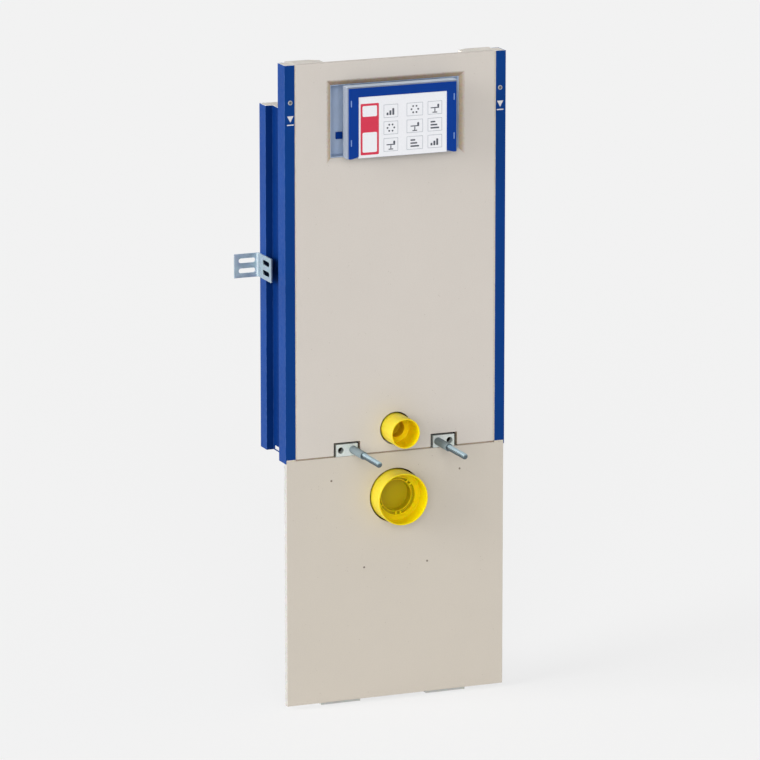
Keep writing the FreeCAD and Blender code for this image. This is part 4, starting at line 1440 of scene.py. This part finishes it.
@dataclass
class Cladding(Assembly):
    """The boards of the front and the light concrete behind them."""

    rim: float = 1.5
    front_share: float = 0.95
    slope: float = 0.3
    screw_places: tuple[Pair, ...] = ((-136.0, 456.0), (136.0, 456.0), (-67.0, 275.0), (67.0, 275.0))
    screw_seat: float = 0.1
    screw: SocketScrew = SocketScrew(head=2.1, rise=0.5, recess=1.0)
    joint: Pair = (502.6, 505.4)
    joint_depth: Pair = (1.2, 12.4)
    joint_runs: tuple[Pair, ...] = ((-209.0, -131.0), (-74.0, 74.0), (131.0, 209.0))
    strip: Pair = (208.1, 210.4)
    strip_heights: Pair = (506.0, 1284.5)
    strip_depth: Pair = (0.5, 1.6)
    toe: Pair = (210.6, 229.6)
    fill: Pair = (208.2, 229.7)
    fill_heights: Pair = (1281.05, 1284.7)
    fill_depth: Pair = (1.8, 34.2)

    def boards(self) -> None:
        """Dresses the boards, with raw edges round their openings."""
        faces = {"upper_board": self.finishes.upper_board, "lower_board": self.finishes.lower_board}
        for board, face in faces.items():
            coats = (face, self.finishes.board_edge, self.finishes.board_shade, self.finishes.board_flank_shade)
            self.dress_by_face(board, Slot.BOARD, coats, Edge.BOARD, self.edge_chooser(*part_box(board)))

    def edge_chooser(self, low: Vector, high: Vector) -> Callable[[Vector, Vector], BoardCoat]:
        """Makes a rule that tells the face of a board from its sides and from the edges of its openings.

        Args:
            low: Lowest corner of the board.
            high: Highest corner of the board.

        Returns:
            The rule, from a face's normal and middle to its finish.
        """
        rim = self.rim * MM

        def choose(normal: Vector, middle: Vector) -> BoardCoat:
            """Chooses the face, an edge, an edge that looks down, darker as painted shade, or a side, darker
            as painted shade.

            Args:
                normal: Way the face looks.
                middle: Middle of the face.

            Returns:
                The finish.
            """
            if abs(normal.y) > self.front_share:
                return BoardCoat.FACE
            # Outer sides that look left or right take a darker finish: painted shade.
            if any(not low[axis] + rim < middle[axis] < high[axis] - rim for axis in (0, 2)):
                return BoardCoat.SIDE if facing_sideways(normal, middle) else BoardCoat.FACE
            # Edges that look down take a darker finish: painted shade.
            if normal.z < -self.slope:
                return BoardCoat.SHADE
            return BoardCoat.EDGE if normal.z < self.slope else BoardCoat.FACE

        return choose

    def fillings(self) -> None:
        """Fills the joint between the boards, the gaps beside them and the tops of the channels; the pale
        strips in the gaps are painted light over their shade.
        """
        mortar = Mesher.joined("joint_mortar", [
            Mesher.block("run", across, self.joint_depth, self.joint) for across in self.joint_runs])
        self.show(mortar, Slot.CORE, self.finishes.mortar, Edge.THIN)
        # Pale strips beside the boards and under the flanges: painted light where shade would fall.
        runs = ((self.strip, self.strip_heights), (self.toe, self.joint))
        strips = Mesher.joined("gap_light_strips", [
            Mesher.block("strip", across, self.strip_depth, heights, sign)
            for across, heights in runs for sign in SIGNS])
        self.show(strips, Slot.CORE, self.finishes.gap_painted_light)
        fill = Mesher.joined("channel_fill", [
            Mesher.block("fill", self.fill, self.fill_depth, self.fill_heights, sign) for sign in SIGNS])
        self.show(fill, Slot.CORE, self.finishes.core, Edge.THIN)

    def build(self) -> None:
        """Builds and dresses the group."""
        self.boards()
        for core in ("core_panel", "left_core_post", "right_core_post"):
            self.dress(core, Slot.CORE, self.finishes.core, Edge.MOULDED)
        self.fillings()
        screws = [((x, self.screw_seat, z), Axis.FRONT) for x, z in self.screw_places]
        self.fasten("board_screws", self.screw, screws, self.finishes.brown_steel)


class Drawing(IntEnum):
    """Simple drawings that fill the boxes of the card."""

    STEPS = 0
    DOTS = 1
    LEVER = 2
    STACK = 3

    def bars(self) -> list[tuple[float, ...]]:
        """Its bars round a middle.

        Returns:
            Each bar's least and greatest X and Z, as (X, Z, X, Z), and the radius of its corners.
        """
        if self is Drawing.STEPS:
            return [(6 * i - 9, -8, 6 * i - 5, 4 * i - 3, 0.8) for i in range(3)]
        if self is Drawing.DOTS:
            middles = [(7 * math.cos(math.pi * i / 3), 7 * math.sin(math.pi * i / 3)) for i in range(6)]
            return [(x - 1.8, z - 1.8, x + 1.8, z + 1.8, 1.7) for x, z in middles]
        if self is Drawing.LEVER:
            return [(-9, -1, 9, 1, 0.8), (-1, -8, 1, -1.2, 0.8), (-5, -10, 5, -8, 0.8), (5, 1, 9, 7, 1.5)]
        return [(-9, 6 * i - 8, 9 - 4 * i, 6 * i - 5, 0.9) for i in range(3)]

    def outlines(self, x: float, z: float) -> list[Outline]:
        """Its outlines round a point of the card."""
        return [rounded((x + x0, z + z0), (x + x1, z + z1), corner) for x0, z0, x1, z1, corner in self.bars()]


@dataclass
class ServiceOpening(Assembly):
    """The collar of the opening and the cover that closes it."""

    slot_side: float = 107.3
    slot_half: Pair = (1.2, 6.5)
    slot_heights: Pair = (1131.0, 1208.0)
    slot_corner: float = 1.08
    cut_past: float = 1.0
    tongue_sunk: float = 0.3
    toe_inner: Pair = (91.0, 1104.5)
    toe_outer: Pair = (108.0, 1098.5)
    lip: Pair = (-92.0, 132.7)
    lip_heights: Pair = (1231.5, 1238.2)
    lip_depth: Pair = (14.0, 33.4)
    liner_side: float = 134.3
    liner_heights: Pair = (1097.2, 1239.8)
    liner_wall: float = 1.5
    liner_depth: Pair = (6.0, 33.4)
    card_face: float = -35.0
    ink_skin: float = 0.12
    red_field: tuple[Pair, Pair] = ((-88.0, 1106.0), (-50.0, 1206.5))
    red_corner: float = 2.0
    blanks: tuple[tuple[Pair, Pair], ...] = (((-84.0, 1181.0), (-54.0, 1202.0)),
                                             ((-84.0, 1111.0), (-54.0, 1150.0)))
    blank_corner: float = 2.5
    box_columns: tuple[Pair, ...] = ((-40.0, -10.0), (8.0, 42.0), (52.0, 82.0))
    box_rows: tuple[float, ...] = (1176.0, 1143.0, 1110.0)
    box_height: float = 26.0
    box_line: float = 0.9

    def print_shapes(self, name: str, outlines: Sequence[Outline], ink: Material, layer: int = 1) -> None:
        """Prints flat shapes on the card.

        Args:
            name: Name of the print.
            outlines: Outlines in the front plane.
            ink: Finish of the ink.
            layer: Which layer of ink it is, from the card up.
        """
        back = self.card_face - (layer - 1) * self.ink_skin
        parts = [Mesher.prism("ink", outline, (back - self.ink_skin, back)) for outline in outlines]
        self.show(Mesher.joined(name, parts), Slot.CARD, ink)

    def card_print(self) -> None:
        """Prints a plain generic layout: a red field with blank windows and rows of simple drawings."""
        red = [rounded(*self.red_field, self.red_corner)]
        self.print_shapes("card_red_field", red, self.finishes.red_ink)
        blanks = [rounded(low, high, self.blank_corner) for low, high in self.blanks]
        self.print_shapes("card_blank_windows", blanks, self.finishes.card, 2)
        grey, dark = [], []
        for column, (left, right) in enumerate(self.box_columns):
            for row, foot in enumerate(self.box_rows):
                grey += self.box_outline((left, foot), (right, foot + self.box_height))
                drawing = Drawing((column + row) % len(Drawing))
                dark += drawing.outlines((left + right) / 2, foot + self.box_height / 2)
        self.print_shapes("card_grey_drawings", grey, self.finishes.grey_ink)
        self.print_shapes("card_dark_drawings", dark, self.finishes.dark_ink)

    def box_outline(self, low: Pair, high: Pair) -> list[Outline]:
        """Four thin bars round a rectangle.

        Args:
            low: Lower corner of the rectangle.
            high: Upper corner of the rectangle.

        Returns:
            The outlines of the bars.
        """
        (x0, z0), (x1, z1), line = low, high, self.box_line
        bars = (((x0, z0), (x1, z0 + line)), ((x0, z1 - line), (x1, z1)),
                ((x0, z0 + line), (x0 + line, z1 - line)), ((x1 - line, z0 + line), (x1, z1 - line)))
        return [rounded(start, end, line / 3, 2) for start, end in bars]

    def collar(self) -> None:
        """Dresses the collar, with a pale lip along its head and a pale liner round the opening, both painted
        light over bands that lie in shade.
        """
        self.dress("service_collar", Slot.GREY, self.finishes.collar, Edge.SHEET)
        # The pale lip and liner stand in for light in shaded bands: painted light.
        lip = Mesher.block("collar_lip_painted_light", self.lip, self.lip_depth, self.lip_heights)
        side, wall, (foot, head) = self.liner_side, self.liner_wall, self.liner_heights
        between = (foot + wall, head - wall)
        runs = (((-side, side), (foot, foot + wall)), ((-side, side), (head - wall, head)),
                ((-side, wall - side), between), ((side - wall, side), between))
        liner = Mesher.joined("opening_liner_painted_light", [
            Mesher.block("run", across, self.liner_depth, heights) for across, heights in runs])
        for piece in (lip, liner):
            self.show(piece, Slot.GREY, self.finishes.collar, Edge.THIN)

    def cover_frame(self) -> None:
        """Dresses the blue frame: slanted toes, and slots in its side bars with pale tongues in them, partly
        clips and partly a painted glint.
        """
        piece = Mesher.solid_of("cover_frame", "cover_frame_shown")
        low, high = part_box("cover_frame")
        front, back = low.y / MM, high.y / MM
        wide, tall = self.slot_half
        slots = [rounded((x - wide, z - tall), (x + wide, z + tall), self.slot_corner)
                 for x in (-self.slot_side, self.slot_side) for z in self.slot_heights]
        (x0, z0), (x1, z1) = self.toe_inner, self.toe_outer
        toes = [[(sign * x0, z1), (sign * x1, z1), (sign * x0, z0)] for sign in SIGNS]
        through = (front - self.cut_past, back + self.cut_past)
        Mesher.carve(piece, [Mesher.prism("cut", outline, through) for outline in slots + toes])
        Mesher.soften(piece, Edge.PLATE)
        Mesher.paint(piece, self.finishes.blue)
        self.keep(piece, Slot.BLUE, "cover_frame")
        # Pale tongues in the slots: partly clips, partly a painted glint over their shade.
        tongues = Mesher.joined("cover_tongues_painted_glint", [
            Mesher.prism("glint_tongue", outline, (front + self.tongue_sunk, back)) for outline in slots])
        self.show(tongues, Slot.GREY, self.finishes.glint_tongue, Edge.TONGUE)

    def build(self) -> None:
        """Builds and dresses the group."""
        self.collar()
        self.dress("collar_plug", Slot.BLUE, self.finishes.blue, Edge.PLATE)
        # Tray faces that look up or down take the lighter grey: painted light.
        tray = (self.finishes.tray, self.finishes.tray_lit_top)
        self.dress_by_face("cover_tray", Slot.GREY, tray, Edge.MOULDED, facing_up)
        self.cover_frame()
        self.dress("cover_card", Slot.CARD, self.finishes.card, Edge.PAPER)
        self.card_print()


@dataclass
class BowlFixings(Assembly):
    """The rail behind the boards, with the rods that carry the bowl."""

    rod_side: float = 90.0
    free_side: float = 115.0
    height: float = 515.0
    thread_start: float = -58.0
    rod_tip: float = -138.0
    rod_tail: float = 36.5
    tip_length: float = 2.0
    tip_taper: float = 1.1
    core: float = 5.25
    ridge: float = 0.75
    pitch: float = 1.75
    shank: float = 5.7
    rod_steps: int = 28
    rod_sharp: float = 40.0
    notch: Pair = (74.6, 130.4)
    plate: Pair = (79.9, 125.1)
    notch_top: float = 530.9
    plate_top: float = 527.1
    foot: float = 503.0
    bed: Pair = (10.4, 12.5)
    nut_front: float = 15.0
    nut_steps: int = 36
    nut_profile: tuple[Pair, ...] = ((0.0, 5.2), (0.0, 10.4), (12.0, 10.4), (14.0, 8.6), (14.0, 0.0),
                                     (12.4, 0.0), (12.4, 5.2))

    def rods(self) -> None:
        """Builds the rods: a helical thread, a plain shank and a blunt tip."""
        start, tip = self.thread_start - self.ridge, self.rod_tip + self.tip_length
        thread = Thread(self.core, self.ridge, self.pitch, start - tip - self.ridge)
        blunt = self.core - self.tip_taper
        point = ((0.0, 0.0), (0.0, self.core), (self.tip_length, blunt), (self.tip_length, 0.0))
        run = self.rod_tail - self.thread_start
        shank = ((0.0, 0.0), (0.0, self.shank), (run, self.shank), (run, 0.0))
        for side, sign in SIDES.items():
            x, z = sign * self.rod_side, self.height
            piece = Mesher.joined(f"{side}_fixing_rod_shown", [
                self.grown("thread", thread, [((x, start, z), Axis.FRONT)], self.finishes.zinc_rod),
                Mesher.turned("tip", point, (x, tip, z), Axis.FRONT, self.rod_steps),
                Mesher.turned("shank", shank, (x, self.thread_start, z), Axis.BACK, self.rod_steps)])
            Mesher.smooth(piece, self.rod_sharp)
            Mesher.paint(piece, self.finishes.zinc_rod)
            self.keep(piece, Slot.ZINC, f"{side}_fixing_rod")

    def shade_sheets_and_nuts(self) -> None:
        """Lays a dark sheet round each rod plate as painted shade in its gap, and sets a blind nut behind its
        free hole.
        """
        (out0, out1), (in0, in1) = self.notch, self.plate
        outline = [(out0, self.foot), (in0, self.foot), (in0, self.plate_top), (in1, self.plate_top),
                   (in1, self.foot), (out1, self.foot), (out1, self.notch_top), (out0, self.notch_top)]
        for side, sign in SIDES.items():
            # A dark sheet in the gap round the plate: painted shade.
            bed = Mesher.prism(f"{side}_plate_gap_painted_shade", [(sign * x, z) for x, z in outline], self.bed)
            self.show(bed, Slot.BLACK, self.finishes.foam_and_shade, Edge.FINE)
            place = (sign * self.free_side, self.nut_front, self.height)
            nut = Mesher.turned(f"{side}_blind_nut", self.nut_profile, place, Axis.BACK, self.nut_steps)
            self.show(nut, Slot.ZINC, self.finishes.dark_steel, Edge.FINE)

    def build(self) -> None:
        """Builds and dresses the group."""
        self.dress("fixing_rail", Slot.ZINC, self.finishes.zinc, Edge.PLATE)
        for side in SIDES:
            self.dress(f"{side}_rod_plate", Slot.ZINC, self.finishes.pale_zinc, Edge.SHEET)
            self.dress(f"{side}_rod_sleeve", Slot.SLEEVE, self.finishes.sleeve, Edge.SHEET)
        self.rods()
        self.shade_sheets_and_nuts()


@dataclass(frozen=True)
class FoamRing:
    """Sizes of a flat ring in millimetres, with the Y of its front and the number of faces round it."""

    inner: float
    outer: float
    thick: float
    front: float
    steps: int

    def make(self, name: str, height: float) -> Piece:
        """Turns the ring round the axis of a pipe at a given height."""
        section = ((0.0, self.inner), (0.0, self.outer), (self.thick, self.outer), (self.thick, self.inner))
        return Mesher.turned(name, section, (0.0, self.front, height), Axis.BACK, self.steps)


@dataclass
class PipeRuns(Assembly):
    """The flush pipe and the drain, with their caps."""

    drain_height: float = 415.0
    flush_height: float = 550.0
    drain_seal: FoamRing = FoamRing(inner=45.4, outer=61.0, thick=3.0, front=12.5, steps=72)
    flush_seal: FoamRing = FoamRing(inner=22.8, outer=32.5, thick=4.0, front=31.5, steps=64)
    seal_cut: tuple[Pair, Pair, Pair] = ((-60.0, 60.0), (20.0, 60.0), (500.0, 525.3))
    grip: GripRing = GripRing(ring=29.3, rib=1.7, tall=20.0)
    nut_foot: float = 597.0
    flush_leg: float = 84.0
    drain_leg: float = 81.0
    clip_side: float = 47.4
    clip_height: float = 275.0
    clip_bolt: HexBolt = HexBolt(head=6.5, rise=4.5, washer=9.0, sheet=1.4)
    dish_front: float = -8.0
    dish_steps: int = 72
    dish: tuple[Pair, ...] = ((0.0, 37.8), (0.0, 39.2), (18.0, 39.2), (18.0, 33.5), (27.5, 33.5), (27.5, 0.0),
                              (26.0, 0.0), (26.0, 31.5), (6.0, 31.5), (6.0, 33.0), (10.5, 33.0), (10.5, 37.8))
    tab_span: Pair = (32.5, 38.4)
    tab_half: float = 1.3
    tab_depth: Pair = (-5.0, 3.0)
    tab_angles: tuple[float, ...] = (36.0, 50.0, -76.0, -92.0, 150.0, 210.0)

    def seals(self) -> None:
        """Sets a foam ring behind each board's pipe hole."""
        drain = self.drain_seal.make("drain_seal", self.drain_height)
        flush = self.flush_seal.make("flush_seal", self.flush_height)
        Mesher.carve(flush, [Mesher.block("below", *self.seal_cut)])
        for piece in (drain, flush):
            self.show(piece, Slot.BLACK, self.finishes.foam_and_shade, Edge.THIN)

    def cap_rings(self) -> None:
        """Moulds the inner cup of the drain cap: two rims, a channel and the tabs in it."""
        middle = (0.0, self.dish_front, self.drain_height)
        parts = [Mesher.turned("dish", self.dish, middle, Axis.BACK, self.dish_steps)]
        for angle in self.tab_angles:
            way = Vector((math.cos(math.radians(angle)), math.sin(math.radians(angle))))
            aside = Vector((-way.y, way.x)) * self.tab_half
            inner, outer = (way * reach for reach in self.tab_span)
            corners = (inner - aside, outer - aside, outer + aside, inner + aside)
            outline = [(corner.x, corner.y + self.drain_height) for corner in corners]
            parts.append(Mesher.prism("tab", outline, self.tab_depth))
        rings = Mesher.joined("drain_cap_rings", parts)
        self.show(rings, Slot.YELLOW, self.finishes.drain_yellow, Edge.FINE)

    def build(self) -> None:
        """Builds and dresses the group."""
        self.dress("flush_cap", Slot.YELLOW, self.finishes.flush_yellow, Edge.PLATE)
        self.dress("drain_cap", Slot.YELLOW, self.finishes.drain_yellow, Edge.PLATE)
        self.dress("flush_pipe", Slot.GREY, self.finishes.grey, Edge.SHEET)
        self.dress("flush_nut", Slot.GREY, self.finishes.grey, Edge.MOULDED)
        self.dress("drain_bend", Slot.BLACK, self.finishes.black, Edge.SHEET)
        self.dress("drain_adaptor", Slot.BLACK, self.finishes.black, Edge.SOCKET)
        self.dress("drain_clip", Slot.ZINC, self.finishes.zinc, Edge.THIN)
        self.seals()
        self.cap_rings()
        ring = [((0.0, self.flush_leg, self.nut_foot), Axis.UP)]
        self.fasten("flush_nut_grip", self.grip, ring, self.finishes.grey, Slot.GREY)
        bolts = [((sign * self.clip_side, self.drain_leg, self.clip_height), way)
                 for sign, way in zip(SIGNS, (Axis.LEFT, Axis.RIGHT))]
        self.fasten("clip_bolts", self.clip_bolt, bolts, self.finishes.zinc)


@dataclass
class Cistern(Assembly):
    """The concealed cistern on its shelf."""

    inlet: Pair = (158.0, 96.0)
    lid_top: float = 1177.0
    seat_profile: tuple[Pair, ...] = ((0.0, 0.0), (0.0, 15.0), (7.2, 15.0), (8.5, 13.4), (8.5, 0.0))
    seat_sides: int = 6
    stem: Thread = Thread(core=9.7, ridge=0.8, pitch=1.81, length=23.8)
    stem_foot: float = 9.3
    inlet_sharp: float = 35.0
    lid_screw: SocketScrew = SocketScrew(head=4.2, rise=2.2, recess=1.9)
    lid_screws: tuple[Pair, ...] = ((-160.0, 52.0), (-160.0, 112.0), (-138.0, 82.0), (138.0, 52.0),
                                    (0.0, 121.0), (-80.0, 121.0), (80.0, 121.0))

    def water_inlet(self) -> None:
        """Builds the inlet: a turned seat and a threaded stem."""
        x, y = self.inlet
        seat = Mesher.turned("seat", self.seat_profile, (x, y, self.lid_top), Axis.UP, self.seat_sides)
        foot = [((x, y, self.lid_top + self.stem_foot), Axis.UP)]
        stem = self.grown("stem", self.stem, foot, self.finishes.brass)
        piece = Mesher.joined("water_inlet_shown", [seat, stem])
        Mesher.smooth(piece, self.inlet_sharp)
        Mesher.paint(piece, self.finishes.brass)
        self.keep(piece, Slot.BRASS, "water_inlet")

    def build(self) -> None:
        """Builds and dresses the group."""
        self.dress("cistern_tank", Slot.BLACK, self.finishes.black, Edge.BROAD)
        self.dress("cistern_lid", Slot.BLACK, self.finishes.black, Edge.MOULDED)
        self.dress("service_dome", Slot.BLACK, self.finishes.black, Edge.BROAD)
        self.dress("cistern_shelf", Slot.ZINC, self.finishes.zinc, Edge.THIN)
        self.water_inlet()
        screws = [((x, y, self.lid_top), Axis.UP) for x, y in self.lid_screws]
        self.fasten("lid_screws", self.lid_screw, screws, self.finishes.zinc)


@dataclass
class Legs(Assembly):
    """The legs with their sliding feet and the brace between them."""

    leg_middle: float = 112.0
    leg_back: float = 52.5
    tube_segments: int = 3
    bolt_heights: Pair = (105.0, 235.0)
    bolt: HexBolt = HexBolt(head=7.5, rise=5.5, washer=11.0, sheet=1.8)

    def build(self) -> None:
        """Builds and dresses the group."""
        tube = self.tube_segments
        for side in SIDES:
            self.dress(f"{side}_leg", Slot.STEEL, self.finishes.steel, Edge.BROAD, tube)
            self.dress(f"{side}_foot_tube", Slot.ZINC, self.finishes.foot_zinc, Edge.MOULDED, tube)
            self.dress(f"{side}_foot_plate", Slot.ZINC, self.finishes.foot_zinc, Edge.PLATE)
        self.dress("leg_brace", Slot.STEEL, self.finishes.steel, Edge.PLATE)
        bolts = [((sign * self.leg_middle, self.leg_back, z), Axis.BACK)
                 for sign in SIGNS for z in self.bolt_heights]
        self.fasten("leg_bolts", self.bolt, bolts, self.finishes.zinc)


@dataclass
class Studio:
    """Floor, lamps and camera."""

    target: Point = (-0.0333, 0.0, 0.6496)
    turn: float = 22.32
    pitch: float = 13.06
    distance: float = 12.0
    lens: float = 291.2
    sensor: float = 36.0
    far: float = 200.0
    pale: Colour = screen(240, 240, 240)
    floor_half: float = 60.0
    floor_glow: float = 0.95
    glow_share: float = 0.75
    ambient: float = 0.4
    front_way: Point = (-0.36, -0.88, 0.30)
    front_power: float = 1.15
    front_spread: float = 34.0
    side_way: Point = (-0.96, -0.05, 0.28)
    side_power: float = 3.3
    side_spread: float = 40.0

    def camera(self) -> None:
        """Sets the camera at the photograph's angle."""
        turn, pitch = math.radians(self.turn), math.radians(self.pitch)
        level = math.cos(pitch)
        ahead = Vector((math.sin(turn) * level, math.cos(turn) * level, -math.sin(pitch)))
        data = bpy.data.cameras.new("camera")
        data.lens = self.lens
        data.sensor_width = self.sensor
        data.sensor_fit = "HORIZONTAL"
        data.clip_end = self.far
        made = bpy.data.objects.new("camera", data)
        made.location = Vector(self.target) - ahead * self.distance
        made.rotation_euler = ahead.to_track_quat("-Z", "Y").to_euler()
        bpy.context.scene.collection.objects.link(made)
        bpy.context.scene.camera = made

    @staticmethod
    def seen_share(bench: NodeBench) -> Socket:
        """A value of one for rays that look at the background, straight or through gloss and glass.

        Args:
            bench: Node tree to add to.

        Returns:
            The value's socket.
        """
        ray = bench.node("ShaderNodeLightPath").outputs
        either = ray["Is Camera Ray"]
        for other in ("Is Glossy Ray", "Is Transmission Ray"):
            either = bench.maths("MAXIMUM", either, ray[other])
        return either

    def floor(self) -> None:
        """Lays a wide pale floor that keeps a soft shadow."""
        mesh = bpy.data.meshes.new("floor")
        half = self.floor_half
        corners = [(-half, -half, 0), (half, -half, 0), (half, half, 0), (-half, half, 0)]
        mesh.from_pydata(corners, [], [(0, 1, 2, 3)])
        material = bpy.data.materials.new("pale_floor")
        bench = NodeBench(emptied_tree(material))
        matte = bench.node("ShaderNodeBsdfDiffuse", {"Color": scaled(self.pale)}).outputs["BSDF"]
        glow = bench.node("ShaderNodeEmission", {"Strength": self.floor_glow}).outputs["Emission"]
        share = bench.times(self.seen_share(bench), self.glow_share)
        mixed = bench.node("ShaderNodeMixShader", {"Fac": share, 1: matte, 2: glow}).outputs["Shader"]
        bench.node("ShaderNodeOutputMaterial", {"Surface": mixed})
        mesh.materials.append(material)
        Mesher.piece("floor", mesh)

    def world(self) -> None:
        """Sets the soft light from all round, and the pale background."""
        world = bpy.data.worlds.new("studio")
        bpy.context.scene.world = world
        bench = NodeBench(emptied_tree(world))
        light = {"Color": (1.0, 1.0, 1.0, 1.0), "Strength": self.ambient}
        around = bench.node("ShaderNodeBackground", light).outputs["Background"]
        seen = bench.node("ShaderNodeBackground", {"Color": scaled(self.pale)}).outputs["Background"]
        mix = bench.node("ShaderNodeMixShader", {"Fac": self.seen_share(bench), 1: around, 2: seen})
        bench.node("ShaderNodeOutputWorld", {"Surface": mix.outputs["Shader"]})

    def lamp(self, name: str, way: Point, power: float, spread: float) -> None:
        """Hangs a broad distant lamp.

        Args:
            name: Name of the lamp.
            way: Direction towards the lamp.
            power: Strength of the lamp.
            spread: Angle that the lamp fills, in degrees.
        """
        data = bpy.data.lights.new(name, "SUN")
        data.energy = power
        data.angle = math.radians(spread)
        made = bpy.data.objects.new(name, data)
        made.rotation_euler = Vector(way).to_track_quat("Z", "Y").to_euler()
        bpy.context.scene.collection.objects.link(made)

    def build(self) -> None:
        """Builds the studio."""
        bpy.context.scene.view_settings.view_transform = "Standard"
        self.camera()
        self.floor()
        self.world()
        self.lamp("front_lamp", self.front_way, self.front_power, self.front_spread)
        self.lamp("side_lamp", self.side_way, self.side_power, self.side_spread)


def main() -> None:
    """Builds every group in order."""
    logging.basicConfig(level=logging.INFO, format="%(message)s")
    Studio().build()
    finishes = Finishes()
    trees = {kind: kind.tree() for kind in (HexBolt, SocketScrew, HollowRivet, Thread, GripRing)}
    for group in (Channels, Cladding, ServiceOpening, BowlFixings, PipeRuns, Cistern, Legs):
        group(finishes, trees).build()


if __name__ == "__main__":
    main()
